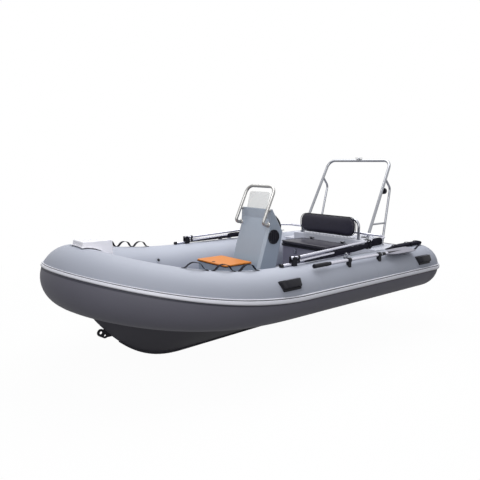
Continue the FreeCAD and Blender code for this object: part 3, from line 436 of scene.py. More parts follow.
def strakeFinish(name, tone, deep):  # extruded rubber with scuffs, plus painted shade in its groove, along its top edge and under its lower ridge
    material, shade = newFinish(name)
    # mask of the painted shade: where the deep tone stands in for the shade in the groove and under the strake
    groove = shade.attribute("groove").step(0.25, 0.9)
    cloud = shade.noise(9.0)
    scuffs = shade.noise(60.0, 4.0, 0.7, (0.3, 1.0, 1.0)).step(0.62, 0.8)
    colour = (cloud * 0.6 + scuffs * 0.4).vary(tone, 1.03, 0.86)
    return closeFinish(material, colour=groove.tint(colour, deep), roughness=0.28 + cloud * 0.14 + scuffs * 0.12,
                       normal=shade.bump(shade.noise(300.0, 2.0), 0.1, 0.0005))


def rubberFinish(name, tone, rough):
    material, shade = newFinish(name)
    cloud = shade.noise(12.0)
    return closeFinish(material, colour=cloud.vary(tone, 0.9, 1.08), roughness=rough + cloud * 0.1, specular=0.22,
                       normal=shade.bump(shade.noise(260.0, 2.0), 0.1, 0.0006))


def screenFinish(name, tone):  # clear acrylic with a light grey tint
    material, shade = newFinish(name)
    haze = shade.noise(9.0, 2.0) * 0.06
    material.surface_render_method = "DITHERED"
    return closeFinish(material, colour=tone, roughness=0.1 + haze, alpha=0.42 + haze, specular=0.6)


finishes = {
    "tube_fabric": tubeFinish("tubeFabric", srgb(166, 170, 182), srgb(101, 100, 110)),
    # the strake's second tone is painted shade for its groove and its underside
    "strake_rubber": strakeFinish("strakeRubber", srgb(240, 240, 248), srgb(56, 56, 64)),
    "hull_gelcoat": mouldedFinish("hullGelcoat", srgb(96, 95, 102), 0.6, 0.0, 0.03, 40.0, gloss=0.05),
    "deck_gelcoat": mouldedFinish("deckGelcoat", srgb(196, 198, 208), 0.5, 0.05, 0.12, 220.0, 0.04),
    "console_gelcoat": mouldedFinish("consoleGelcoat", srgb(143, 153, 166), 0.34, 0.4, 0.04, 120.0, 0.04),
    "step_gelcoat": mouldedFinish("stepGelcoat", srgb(241, 240, 246), 0.4, 0.1, 0.04, 120.0, 0.03),
    "black_plastic": mouldedFinish("blackPlastic", srgb(17, 17, 26), 0.5, 0.0, 0.12, gloss=0.25),
    "wheel_plastic": mouldedFinish("wheelPlastic", srgb(26, 26, 31), 0.45, 0.0, 0.12, gloss=0.3),
    "rail_tube": metalFinish("railTube", srgb(164, 163, 162), 0.34),
    "screen": screenFinish("clearScreen", srgb(196, 198, 198)),
    "cushion_vinyl": vinylFinish("cushionVinyl", srgb(32, 30, 42)),
    "varnished_wood": woodFinish("varnishedBoard", srgb(208, 138, 54), srgb(184, 94, 30)),
    "steel": metalFinish("polishedSteel", srgb(158, 160, 166), 0.14),
    "pole_aluminium": metalFinish("brightPole", srgb(206, 206, 218), 0.24),
    "canopy_fabric": canvasFinish("blackCanvas", srgb(22, 21, 30)),
    "blade_plastic": mouldedFinish("bladePlastic", srgb(126, 125, 137), 0.4, 0.06, 0.05, gloss=0.3),
    "handle_rubber": rubberFinish("handleRubber", srgb(27, 26, 37), 0.55),
    "webbing": canvasFinish("blackWebbing", srgb(24, 24, 31)),
}
ownFinishes = {"seat_box": mouldedFinish("darkShell", srgb(112, 110, 124), 0.4, 0.05, 0.05, 140.0, 0.05, gloss=0.3),
               "keel_band": rubberFinish("keelRubber", srgb(56, 55, 62), 0.6),
               "seat_lid": finishes["black_plastic"], "bow_eye": finishes["black_plastic"]}
for part in frame["record"]["subparts"]:
    materials = nodes[part["node"]].data.materials
    materials.clear()
    materials.append(ownFinishes.get(part["node"], finishes[part["material_slot"]]))
# the tapes' dark tone, below the strake, is painted shadow: much darker than the tube's own lower colour
tapePaintedShadow = tubeFinish("tapePaintedShadow", srgb(163, 167, 179), srgb(66, 66, 76))
patchFabric = tubeFinish("patchFabric", srgb(160, 164, 176), srgb(98, 98, 108))
print("finishes made", len(finishes))


# Collar chambers. A spot on the collar is ("straight", x, side) or ("bow", turn, 0)

collar = {
    "axisHeight": 0.36, "radius": 0.22, "noseRadius": 0.246, "halfSpacing": 0.784, "shoulder": 1.95, "nose": 3.386,
    "rise": 0.186, "planPower": 2.739, "planRound": 1.951, "risePower": 2.15, "seam": 1.7, "strakeAft": 1.4,
    "strakeBow": 26.0, "strakePower": 1.3, "bowStations": 120, "domeStations": 14, "dome": 0.235,
    "underFloor": -2.45, "sides": 96, "sunk": -0.0008}
sky = Vector((0, 0, 1))


def collarPlace(turn):  # centre and radius of the bow tube, turn 0 at the port shoulder, 180 at the other
    s, c = math.sin(math.radians(turn)), math.cos(math.radians(turn))
    run = abs(s) ** (2 / collar["planPower"])
    side = math.copysign(abs(c) ** (2 / collar["planRound"]), c)
    place = Vector((mix(collar["shoulder"], collar["nose"], run), collar["halfSpacing"] * side,
                    collar["axisHeight"] + collar["rise"] * run ** collar["risePower"]))
    return place, mix(collar["radius"], collar["noseRadius"], run ** 2)


def sideAxis(x, side):
    return Vector((x, side * collar["halfSpacing"], collar["axisHeight"]))


def bowShare(x):  # 0 up to the shoulder, 1 at the nose
    return max(0.0, (x - collar["shoulder"]) / (collar["nose"] - collar["shoulder"]))


def strakeAngle(x):  # how far round the tube the strake runs, in degrees
    return mix(collar["strakeAft"], collar["strakeBow"], bowShare(x) ** collar["strakePower"])


def axesAcross(tangent):
    outward = sky.cross(tangent).normalized()
    return outward, tangent.cross(outward)


def tubeAxes(spot, shift=0.0):  # centre, tangent, outward, upward and radius at a spot
    kind, value, side = spot
    if kind == "straight":
        return sideAxis(value + shift, side), Vector((1, 0, 0)), Vector((0, side, 0)), sky, collar["radius"]
    step = 0.02
    low, high = max(value - step, 0.0), min(value + step, 180.0)
    speed = (collarPlace(high)[0] - collarPlace(low)[0]).length / (high - low)
    turn = min(max(value + shift / speed, step), 180 - step)
    centre, radius = collarPlace(turn)
    tangent = (collarPlace(turn + step)[0] - collarPlace(turn - step)[0]).normalized()
    return centre, tangent, *axesAcross(tangent), radius


def onTube(spot, angle, u=0.0, v=0.0, w=0.0):  # a point u along, v round and w off the tube's skin
    centre, tangent, outward, upward, radius = tubeAxes(spot, u)
    return centre + slant(outward, upward, math.radians(angle) + v / radius) * (radius + w)


def tubeStand(spot, angle):  # matrix with Z off the skin and X along the tube
    centre, tangent, outward, upward, radius = tubeAxes(spot)
    radial = slant(outward, upward, math.radians(angle))
    return stand(centre + radial * radius, radial, tangent)


def patchAt(spot, shift, angle, length, width, corner, thick=0.0012, cells=8):  # glued on the skin
    outline = roundRect(length / 2, width / 2, corner, 5)
    rows = [[onTube(spot, angle, shift + a * share, b * share, lift) for a, b in outline]
            for share, lift in [(1.0, -0.0006), (0.998, thick * 0.7), (0.985, thick)]
            + [(1 - k / cells, thick) for k in range(1, cells)]]
    return loft(rows, tip=onTube(spot, angle, shift, 0, thick))


def band(spots, low, high, thick):  # a tape over the skin, through spots with their angles
    count = max(8, math.ceil((high - low) / 0.015))
    arc = [mix(low, high, i / count) for i in range(count + 1)]
    outline = [(v, thick) for v in arc] + [(v, collar["sunk"]) for v in reversed(arc)]
    return loft([[onTube(spot, angle, 0, v, w) for v, w in outline] for spot, angle in spots])


def fabric(name, pieces, degrees=30, **look):  # marked with how far each point lies over the strake's line
    piece = dress(name, pieces, "tube_fabric", degrees, **look)
    stations = [collarPlace(turn / 4) for turn in range(721)]
    centres = np.array([place for place, radius in stations])
    tangents = np.gradient(centres, axis=0)
    tangents[0], tangents[-1] = (1, 0, 0), (-1, 0, 0)
    points = np.array([vertex.co for vertex in piece.data.vertices])
    values = np.zeros(len(points), np.float32)
    for i, point in enumerate(points):
        if point[0] < collar["shoulder"]:
            outward, upward = abs(point[1]) - collar["halfSpacing"], point[2] - collar["axisHeight"]
            line, radius = math.radians(collar["strakeAft"]), collar["radius"]
        else:
            nearest = int(np.argmin(((centres - point) ** 2).sum(1)))
            side, rise = axesAcross(Vector(tangents[nearest]).normalized())
            offset = Vector(point - centres[nearest])
            outward, upward = offset.dot(side), offset.dot(rise)
            line, radius = math.radians(strakeAngle(centres[nearest][0])), stations[nearest][1]
        angle = math.atan2(upward, outward)
        if angle < collar["underFloor"]:
            angle += 2 * math.pi
        values[i] = (angle - line) * radius
        if point[0] < 0:
            values[i] = upward - math.sin(line) * radius
    mark(piece, "overStrake", values)


bowLine = [collarPlace(180 * i / collar["bowStations"]) for i in range(collar["bowStations"] + 1)]
start, end = ((sideAxis(collar["seam"], side), collar["radius"]) for side in (1, -1))
bowTube = sweep([start, *bowLine, end], collar["sides"])
fabric("collarBow", [bowTube], 60, stands=["collar_bow"])

sideLine = [(collar["seam"], collar["radius"]), (0.0, collar["radius"])]
for i in range(1, collar["domeStations"] + 1):
    swing = math.pi / 2 * i / collar["domeStations"]
    sideLine.append((-collar["dome"] * math.sin(swing), max(collar["radius"] * math.cos(swing), 0.0004)))
for side, name, node in ((1, "collarPort", "collar_port"), (-1, "collarStarboard", "collar_starboard")):
    sideTube = sweep([(sideAxis(x, side), radius) for x, radius in sideLine], collar["sides"])
    fabric(name, [sideTube], 60, stands=[node])


# Rub strake, its tapes, the lap seams and the valves

strake = {
    "seat": 0.0005, "depth": 0.015, "half": 0.026, "bowDepth": 0.011, "bowHalf": 0.0175, "slimming": 1.5,
    "domeSweep": 62.0, "domeSteps": 12, "straightSteps": 18,
    "profile": ((0.0, 1.0), (0.3, 1.0), (0.65, 0.985), (0.84, 0.93), (0.88, 0.84), (0.82, 0.74), (0.7, 0.68),
        (0.4, 0.64), (0.3, 0.58), (0.3, 0.46), (0.4, 0.4), (0.8, 0.35), (0.97, 0.24), (1.0, 0.05), (1.0, -0.5),
        (0.93, -0.72), (0.7, -0.88), (0.3, -0.97), (0.0, -1.0), (0.0, -0.35), (0.0, 0.35)),
    # profile points that get the painted shade, and how much of it
    "grooves": {7: 0.4, 8: 1.0, 9: 1.0, 10: 0.4, 14: 0.4, 15: 0.5, 16: 0.6, 17: 1.0, 18: 1.0, 0: 1.0},
    "tapes": ((0.014, 0.04), (-0.033, -0.014)), "tape": 0.0006, "seam": 0.0004, "seamHalf": 0.012, "seamRound": 3.1,
    "seamTurn": 0.27, "bowSeams": (52.0, 128.0), "sideSeams": (1.7, 0.95, 0.03)}


def strakeSpots():  # from the port quarter round the bow to the starboard one
    steps = strake["straightSteps"]
    spots = [("straight", collar["shoulder"] * i / steps, 1) for i in range(steps)]
    bow = [("bow", 180 * i / collar["bowStations"], 0) for i in range(collar["bowStations"] + 1)]
    other = [(kind, x, -side) for kind, x, side in reversed(spots)]
    return [(spot, strakeAngle(tubeAxes(spot)[0].x)) for spot in spots + bow + other]


def strakeRing(centre, outward, upward, radius, angle):
    turn = math.radians(angle)
    radial, rise = slant(outward, upward, turn), slant(upward, -outward, turn)
    share = bowShare(centre.x) ** strake["slimming"]
    half, depth = mix(strake["half"], strake["bowHalf"], share), mix(strake["depth"], strake["bowDepth"], share)
    ring = []
    for deep, high in strake["profile"]:
        skin = math.sqrt(radius ** 2 - (half * high) ** 2)
        ring.append(centre + radial * (skin + strake["seat"] + depth * deep) + rise * half * high)
    return ring


rings = []
for i in range(strake["domeSteps"]):  # round the port dome
    swing = math.radians(strake["domeSweep"] * (1 - i / strake["domeSteps"]))
    outward = Vector((-math.sin(swing), math.cos(swing), 0))
    ring = strakeRing(sideAxis(0, 1), outward, sky, collar["radius"], collar["strakeAft"])
    rings.append([Vector((p.x * collar["dome"] / collar["radius"], p.y, p.z)) for p in ring])
for spot, angle in strakeSpots():
    centre, tangent, outward, upward, radius = tubeAxes(spot)
    rings.append(strakeRing(centre, outward, upward, radius, angle))
rings += [[sided(p, -1) for p in ring] for ring in reversed(rings[:strake["domeSteps"]])]
strakePiece = dress("rubStrake", [loft(rings)], "strake_rubber", stands=["rub_strake"])
# marks where the strake's painted shade goes
mark(strakePiece, "groove", [strake["grooves"].get(i % len(strake["profile"]), 0.0)
                             for i in range(len(strakePiece.data.vertices))])

# the tape under the strake is real tape, coloured as the painted shadow the strake casts
fabric("collarTapes", [band(strakeSpots(), low, high, strake["tape"]) for low, high in strake["tapes"]],
       material=tapePaintedShadow)
seamSpots = [[("straight", x + strake["seamHalf"] * k, side) for k in (-1, 0, 1)]
             for x in strake["sideSeams"] for side in (1, -1)]
seamSpots += [[("bow", turn + strake["seamTurn"] * k, 0) for k in (-2, -1, 0, 1, 2)] for turn in strake["bowSeams"]]
around = strake["seamRound"] * collar["radius"]
fabric("collarSeams", [band([(spot, 0.0) for spot in spots], -around, around, strake["seam"]) for spots in seamSpots])

valve = {
    "spots": (("bow", 169.7, 0), ("bow", 24.0, 0), ("straight", 1.25, -1), ("straight", 1.0, 1)), "angle": 150.0,
    "flange": ((0.031, -0.001), (0.031, 0.0014), (0.029, 0.0022), (0.015, 0.0024)),
    "cap": ((0.015, 0.0005), (0.015, 0.004), (0.012, 0.0046), (0.0112, 0.003), (0.008, 0.003), (0.0072, 0.005),
        (0.0006, 0.0053))}
valveStands = [tubeStand(spot, valve["angle"]) for spot in valve["spots"]]
fabric("valveFlanges", [turned(valve["flange"], 40, base) for base in valveStands], 35,
       material=patchFabric)
dress("valveCaps", [turned(valve["cap"], 32, base) for base in valveStands], "black_plastic")
print("collar made")


# Seat cushion and backrest pad

cushion = {
    "bevel": 0.014, "crown": 0.009, "voxel": 0.007, "pressure": 3.0, "frames": 15, "cap": 0.004, "trim": 0.003,
    "seated": 0.0005, "seatCorner": 0.03, "backCorner": 0.083, "piping": 0.0035, "pipingIn": 0.0042,
    "seatPiping": (0.011, 0.007), "backPiping": (0.011, 0.009)}


def pillow(low, high, thickAxis, corner):  # crowned closed form between two corners
    centre, size = (low + high) / 2, high - low
    bpy.ops.mesh.primitive_cube_add(size=1, location=centre)
    piece = started(size)
    setMode(mode="EDIT")
    pick(piece, "EDGE", lambda e: abs((e.verts[0].co - e.verts[1].co)[thickAxis]) > size[thickAxis] / 2)
    bpy.ops.mesh.bevel(offset=corner, segments=6, affect="EDGES")
    pick(piece, "EDGE", lambda e: abs((e.verts[0].co - e.verts[1].co)[thickAxis]) < 1e-5
         and len(e.link_faces) == 2 and abs(e.calc_face_angle(0)) > 1.0)
    bpy.ops.mesh.bevel(offset=cushion["bevel"], segments=3, affect="EDGES")
    setMode(mode="OBJECT")
    addModifier(piece, "REMESH", mode="VOXEL", voxel_size=cushion["voxel"])
    for vertex in piece.data.vertices:
        offset = vertex.co - centre
        edge = 1.0
        for i in {0, 1, 2} - {thickAxis}:
            edge *= 1 - min(1.0, abs(offset[i]) / (size[i] / 2)) ** 4
        side = max(-1.0, min(1.0, offset[thickAxis] / (size[thickAxis] / 2)))
        vertex.co[thickAxis] -= side * cushion["crown"] * (1 - edge)
    return piece


def puff(piece):  # cloth under a little pressure, each point's move capped
    rest = [vertex.co.copy() for vertex in piece.data.vertices]
    cloth = piece.modifiers.new("cloth", "CLOTH")
    cloth.settings.use_pressure = True
    cloth.settings.uniform_pressure_force = cushion["pressure"]
    cloth.settings.effector_weights.gravity = 0
    for number in range(1, cushion["frames"] + 1):
        bpy.context.scene.frame_set(number)
    activate(piece)
    bpy.ops.object.modifier_apply(modifier=cloth.name)
    bpy.context.scene.frame_set(1)
    for vertex, before in zip(piece.data.vertices, rest):
        move = vertex.co - before
        if move.length > cushion["cap"]:
            vertex.co = before + move.normalized() * cushion["cap"]


def pad(name, box, thickAxis, corner, body, node):  # trimmed on all sides but for its seat on the boat
    trim, seat = Vector([cushion["trim"]] * 3), Vector([cushion["trim"]] * 3)
    seat[thickAxis] = cushion["seated"]
    piece = pillow(box[0] + seat, box[1] - trim, thickAxis, corner)
    puff(piece)
    return dress(name, [roundOff(piece)], "cushion_vinyl", 60, body, [node])


def piping(name, box, thickAxis, corner, steps, levels, body):  # a welted cord round each rim of a pad
    low, high = box
    first, second = (i for i in range(3) if i != thickAxis)
    half = (high - low) / 2 - Vector([cushion["pipingIn"]] * 3)
    cords = []
    for level in (high[thickAxis] - levels[0], low[thickAxis] + levels[1]):
        points = []
        for a, b in roundRect(half[first], half[second], corner, steps):
            point = (low + high) / 2
            point[first] += a
            point[second] += b
            point[thickAxis] = level
            points.append(point)
        cord, spline = curveLine(points, "POLY", bevel_depth=cushion["piping"], bevel_resolution=2)
        spline.use_cyclic_u = True
        cords.append(meshOf(cord))
    dress(name, cords, "webbing", 60, body)


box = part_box("seat_cushion")
seatPad = pad("seatPad", box, 2, cushion["seatCorner"], "seat", "seat_cushion")
piping("seatPiping", box, 2, cushion["seatCorner"], 8, cushion["seatPiping"], "seat")
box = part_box("backrest_pad")
backPad = pad("backPad", box, 0, cushion["backCorner"], "boat", "backrest_pad")
piping("backPiping", box, 0, cushion["backCorner"] - 0.002, 10, cushion["backPiping"], "boat")
print("cushions made")


# Rolled canvas under the canopy's legs, and the stowed cover

roll = {
    "sides": 20, "segments": 60, "inset": 0.35, "wrinkle": 0.0025, "pull": 0.12, "pullGap": 0.23, "boxy": 0.55,
    "fold": 0.12, "slim": 0.9, "foldPitch": 9, "ripplePitch": 30}
leg = {"pivot": Vector((1.865, 0.785, 0.642)), "corner": Vector((0.449, 0.735, 0.695))}


def canvasRoll(stations, seed):  # stations of centre, half width and half height
    length = (stations[-1][0] - stations[0][0]).length
    bpy.ops.mesh.primitive_cylinder_add(vertices=roll["sides"], radius=1, depth=1, end_fill_type="NGON",
                                        rotation=(0, math.pi / 2, 0))
    piece = started()
    setMode(mode="EDIT")
    pick(piece, "FACE", lambda f: abs(f.normal.x) > 0.9)
    bpy.ops.mesh.inset(thickness=roll["inset"])
    pick(piece, "EDGE", lambda e: abs((e.verts[0].co - e.verts[1].co).x) > 0.5)
    bpy.ops.mesh.subdivide(number_cuts=roll["segments"])
    setMode(mode="OBJECT")
    for vertex in piece.data.vertices:
        share = min(1.0, max(0.0, vertex.co.x + 0.5))
        where = share * (len(stations) - 1)
        first = min(int(where), len(stations) - 2)
        centre, wide, tall = (mix(a, b, where - first) for a, b in zip(stations[first], stations[first + 1]))
        side, up, run = vertex.co.y, vertex.co.z, share * length
        boxy = max(abs(side), abs(up), 1e-6) / max(math.hypot(side, up), 1e-6)
        fold = noise.noise(Vector((run * roll["foldPitch"], side * 1.5, up * 1.5 + seed)))
        ripple = noise.noise(Vector((run * roll["ripplePitch"], side * 3 + seed, up * 3)))
        shrink = 1 - roll["pull"] * (0.5 + 0.5 * math.cos(run * 2 * math.pi / roll["pullGap"])) ** 6
        scale = (1 / boxy) ** roll["boxy"] * shrink * (roll["slim"] + roll["fold"] * fold)
        wrinkle = roll["wrinkle"] * ripple
        across = max(-wide, min(wide, side * (wide * scale + wrinkle)))
        high = max(-tall, min(tall, up * (tall * scale + wrinkle)))
        vertex.co = centre + Vector((0, across, high))
    return roundOff(piece)


def legPoint(x, drop, side):  # on the folded canopy's leg, some way below it
    point = mix(leg["pivot"], leg["corner"], (leg["pivot"].x - x) / (leg["pivot"].x - leg["corner"].x))
    return sided(point - sky * drop, side)


sleeve = {
    "seed": 3.0, "step": 2.7,
    "front": ((1.716, 0.052, 0.022, 0.0052), (1.62, 0.0535, 0.0235, 0.007), (1.5, 0.055, 0.0245, 0.0088),
        (1.4, 0.0565, 0.025, 0.0104), (1.335, 0.058, 0.025, 0.0118)),
    "rear": ((1.326, 0.046, 0.0235, 0.0225), (1.28, 0.0425, 0.025, 0.0285), (1.15, 0.0425, 0.025, 0.029),
        (1.0, 0.0425, 0.0252, 0.029), (0.85, 0.0425, 0.0252, 0.029), (0.755, 0.04, 0.0255, 0.031)),
    "wrap": ((0.75, 0.027, 0.025, 0.04), (0.72, 0.0235, 0.027, 0.044), (0.66, 0.0235, 0.0272, 0.0445),
        (0.61, 0.025, 0.0262, 0.043), (0.588, 0.027, 0.0235, 0.037))}
sleeves = []
for side in (1, -1):
    for part, name in enumerate(("front", "rear", "wrap")):
        stations = [(legPoint(x, drop, side), wide, high) for x, drop, wide, high in sleeve[name]]
        sleeves.append(canvasRoll(stations, sleeve["seed"] + side + sleeve["step"] * part))
sleevePiece = dress("canopySleeves", sleeves, "canopy_fabric", 50, "canopy", ["canopy_sleeves"])

tie = {
    "x": 0.8, "low": 0.073, "high": -0.015, "wide": 0.0268, "corner": 0.011, "half": 0.013,
    "buckle": (0.03, 0.005, 0.022), "buckleDrop": 0.045, "buckleOut": 0.029}
ties = []
for side in (1, -1):  # webbing tied round each leg and its canvas
    rings = []
    for along, grow in ((-1, 0.0), (-1, 1.0), (1, 1.0), (1, 0.0)):
        centre = legPoint(tie["x"] + tie["half"] * along, (tie["low"] + tie["high"]) / 2, side)
        outline = roundRect(tie["wide"], (tie["low"] - tie["high"]) / 2, tie["corner"], 5)
        rings.append([centre + Vector((0, a * (1 + 0.05 * grow), b * (1 + 0.03 * grow))) for a, b in outline])
    ties.append(loft(rings, caps=False))
    place = legPoint(tie["x"], tie["buckleDrop"], side) + Vector((0, side * tie["buckleOut"], 0))
    ties.append(block(tie["buckle"], at(*place), 0.0015))
dress("canopyTies", ties, "webbing", body="canopy")

cover = {
    "y": 0.784, "seed": 11.0,
    "stations": ((0.558, 0.585, 0.012, 0.0038), (0.5, 0.5865, 0.019, 0.0055), (0.42, 0.592, 0.03, 0.011),
        (0.3, 0.5975, 0.04, 0.0175), (0.12, 0.5985, 0.042, 0.019), (-0.038, 0.5985, 0.042, 0.019)),
    "straps": ((0.4, 0.033, 0.6075), (0.16, 0.0435, 0.6175), (0.0, 0.0435, 0.6175)), "hubs": (0.58, 0.45),
    "strapWidth": 0.025, "tailWidth": 0.016, "thick": 0.0022,
    "tail": ((0.0, 0.812, 0.6175), (0.012, 0.8275, 0.6), (0.04, 0.833, 0.5795), (0.09, 0.848, 0.5735),
        (0.16, 0.872, 0.565), (0.23, 0.889, 0.557), (0.285, 0.895, 0.554), (0.322, 0.886, 0.558),
        (0.334, 0.864, 0.568))}
stations = [(Vector((x, cover["y"], z)), wide, high) for x, z, wide, high in cover["stations"]]
coverPiece = dress("rolledCover", [canvasRoll(stations, cover["seed"])], "canopy_fabric", 50, "boat",
                   ["rolled_cover"])

coverStraps = []
for x, half, top in cover["straps"]:
    rise = ((-0.9, 0.5795), (-1.0, 0.588), (-0.85, top - 0.003), (-0.5, top))
    over = [(x, cover["y"] + half * a, z) for a, z in (*rise, *((-a, z) for a, z in reversed(rise)))]
    coverStraps.append(ribbon(spread(over, 3), lambda p: Vector((x, cover["y"], cover["hubs"][0])),
                              cover["strapWidth"], cover["thick"]))
coverStraps.append(ribbon(spread(cover["tail"], 5), lambda p: Vector((p.x, cover["y"], cover["hubs"][1])),
                          cover["tailWidth"], cover["thick"]))
dress("coverStraps", coverStraps, "webbing")
print("canvas made")


# Grab straps with their patches, and the handles with theirs

strap = {
    "port": (0.337, 0.216, 0.117), "starboard": (0.345, 0.24, 0.152), "width": 0.032, "thick": 0.0034,
    "line": ((-0.104, 0.0026), (-0.086, 0.003), (-0.066, 0.016), (-0.042, 0.042), (-0.014, 0.051), (0.02, 0.0505),
        (0.05, 0.034), (0.07, 0.012), (0.087, 0.003), (0.104, 0.0026)), "hub": 0.06, "foot": 0.094,
    "patch": (0.066, 0.05, 0.018)}
straps, patches = [], []
for share, way in [(s, 1) for s in strap["port"]] + [(s, -1) for s in strap["starboard"]]:
    spot = ("bow", 90 - way * 90 * (1 - share), 0)
    centre, tangent, outward, upward, radius = tubeAxes(spot)
    crown = centre + upward * radius
    line = spread([crown + tangent * way * a + upward * b for a, b in strap["line"]], 5)
    straps.append(ribbon(line, lambda p: crown - upward * strap["hub"], strap["width"], strap["thick"]))
    patches += [patchAt(spot, end * strap["foot"], 90.0, *strap["patch"]) for end in (-1, 1)]
dress("grabStraps", straps, "webbing", stands=["grab_straps"])

handle = {
    "xs": (2.078, 0.19), "angles": (33.0, 28.0), "patch": (0.27, 0.125, 0.03), "half": 0.119, "wide": 0.046,
    "taper": 0.18, "corner": 0.012, "pad": ((-0.008, 1.0), (0.004, 1.0), (0.0075, 0.97), (0.0085, 0.92)),
    "grip": ((0.113, 0.004, 0.012), (0.106, 0.005, 0.026), (0.094, 0.01, 0.04), (0.078, 0.026, 0.0465),
        (0.058, 0.0305, 0.048)), "gripTop": (0.0, 0.031, 0.0485), "gripWide": 0.031, "ledge": (0.168, 0.003, 0.0135),
    "ledgeAt": (0, -0.0315, 0.0395), "rib": (0.005, 0.003, 0.012), "ribAt": (-0.0335, 0.0395), "ribs": 11,
    "ribPitch": 0.0135}
gripStations = [(-along, low, high) for along, low, high in handle["grip"]]
gripStations += [handle["gripTop"], *reversed(handle["grip"])]


def narrowed(piece, base):  # the handle's lower side is shorter than its upper one
    for vertex in piece.data.vertices:
        vertex.co.x *= 1 - handle["taper"] * (vertex.co.y / handle["wide"] + 1) / 2
    return placed(piece, base)


def bowTurn(x, side):  # the turn of the bow tube at a distance from the transom
    turn = math.degrees(math.asin(min(1.0, bowShare(x) ** (collar["planPower"] / 2))))
    return turn if side > 0 else 180 - turn


pads, ledges = [], []
for x, angle in zip(handle["xs"], handle["angles"]):
    for side in (1, -1):
        radial = slant(Vector((0, side, 0)), sky, math.radians(angle))
        base = stand(sideAxis(x, side) + radial * collar["radius"], radial, (side, 0, 0))
        outline = roundRect(handle["half"], handle["wide"], handle["corner"], 4)
        rings = [[(a * share, b * share, z) for a, b in outline] for z, share in handle["pad"]]
        pads.append(narrowed(loft(rings), base))
        rings = []
        for along, low, high in gripStations:
            ring = roundRect(handle["gripWide"], (high - low) / 2, min(0.005, (high - low) / 2.2), 3)
            rings.append([(along, a, (low + high) / 2 + b) for a, b in ring])
        pads.append(narrowed(loft(rings), base))
        ledges.append(block(handle["ledge"], base @ at(*handle["ledgeAt"]), 0.0012))
        for k in range(handle["ribs"]):
            along = (k - (handle["ribs"] - 1) / 2) * handle["ribPitch"]
            ledges.append(block(handle["rib"], base @ at(along, *handle["ribAt"])))
        spot = ("bow", bowTurn(x, side), 0) if x > collar["shoulder"] else ("straight", x, side)
        patches.append(patchAt(spot, 0.0, angle, *handle["patch"]))
dress("carryHandles", pads, "black_plastic", 40, stands=["carry_handles"])
# the ledge and its ribs are a lighter grey than the black handle: a painted highlight on the handle's top
dress("handleLedges", ledges, "black_plastic", material=mouldedFinish("paintedHighlightLedge", srgb(108, 108, 120), 0.3, 0.2))
fabric("gluedPatches", patches, material=patchFabric)
print("straps made")


# Canopy base tubes and pole fittings

fitting = {
    "tube": ((0.0134, 0.0), (0.0134, 0.1005)), "foot": (1.8903, 0.785, 0.593), "jawX": 1.802, "webX": 1.8,
    "jaws": ((0.0, 0.016), (0.036, 0.0135)), "jaw": ((-0.002, -0.012), (0.0, -0.01), (0.0, 0.01), (-0.002, 0.012)),
    "web": (0.016, 0.01, 0.036), "webDrop": 0.018, "knobOut": 0.0045,
    "knob": ((0.0075, 0.0), (0.0075, 0.006), (0.0055, 0.0075), (0.0008, 0.008))}
baseTubes, jaws = [], []
for side in (1, -1):
    base = stand(sided(fitting["foot"], side), (1, 0, 0), (0, 0, -1))
    baseTubes.append(turned(fitting["tube"], 28, base))
    along = legPoint(1.0, 0, side) - legPoint(1.8, 0, side)
    for drop, wide in fitting["jaws"]:
        steps = [(wide + grow, height) for grow, height in fitting["jaw"]]
        jaws.append(turned(steps, 28, stand(legPoint(fitting["jawX"], drop, side), along)))
    middle = legPoint(fitting["webX"], fitting["webDrop"], side)
    jaws.append(block(fitting["web"], at(*middle), 0.002))
    base = stand(middle + Vector((0, side * fitting["knobOut"], 0)), (0, side, 0), (1, 0, 0))
    jaws.append(turned(fitting["knob"], 20, base))
dress("canopyBaseTubes", baseTubes, "pole_aluminium")
dress("poleFittings", jaws, "black_plastic", body="canopy")
print("fittings made")


# Steering wheel with dished spokes

dashAlong, dashNormal = Vector((-0.5224, 0, -0.8527)), Vector((-0.8527, 0, 0.5224))
helm = {
    "place": (1.38522, 0, 0.84992), "rim": 0.1175, "grip": 0.0118, "spokes": 3,
    "hub": ((0.01, -0.058), (0.01, -0.034), (0.026, -0.034), (0.03, -0.03), (0.03, -0.012), (0.026, -0.004),
        (0.016, -0.001), (0.0006, 0.0002)),
    "spoke": ((0.022, -0.02, 0.015, 0.004), (0.045, -0.019, 0.0125, 0.0035), (0.08, -0.01, 0.011, 0.0032),
        (0.11, 0.0, 0.0135, 0.004)),
    "ring": ((0.0205, -0.0036), (0.0205, -0.0006), (0.0185, 0.0002), (0.0165, -0.0006))}
wheelStand = stand(helm["place"], dashNormal, (0, 1, 0))
clearSelection()
bpy.ops.mesh.primitive_torus_add(major_radius=helm["rim"], minor_radius=helm["grip"], major_segments=64,
                                 minor_segments=14)
wheelParts = [placed(bpy.context.object, wheelStand), turned(helm["hub"], 40, wheelStand)]
for turn in turns(helm["spokes"], math.pi / 2):
    rings = [[(reach, a, drop + b) for a, b in roundRect(half, thick, thick * 0.8, 3)]
             for reach, drop, half, thick in helm["spoke"]]
    wheelParts.append(placed(loft(rings), wheelStand @ spin(turn)))
dress("helmWheel", wheelParts, "wheel_plastic", 40, "wheel", ["steering_wheel"])
dress("hubRing", [turned(helm["ring"], 40, wheelStand)], "steel", body="wheel")

# Dash instruments, in the recess of the panel

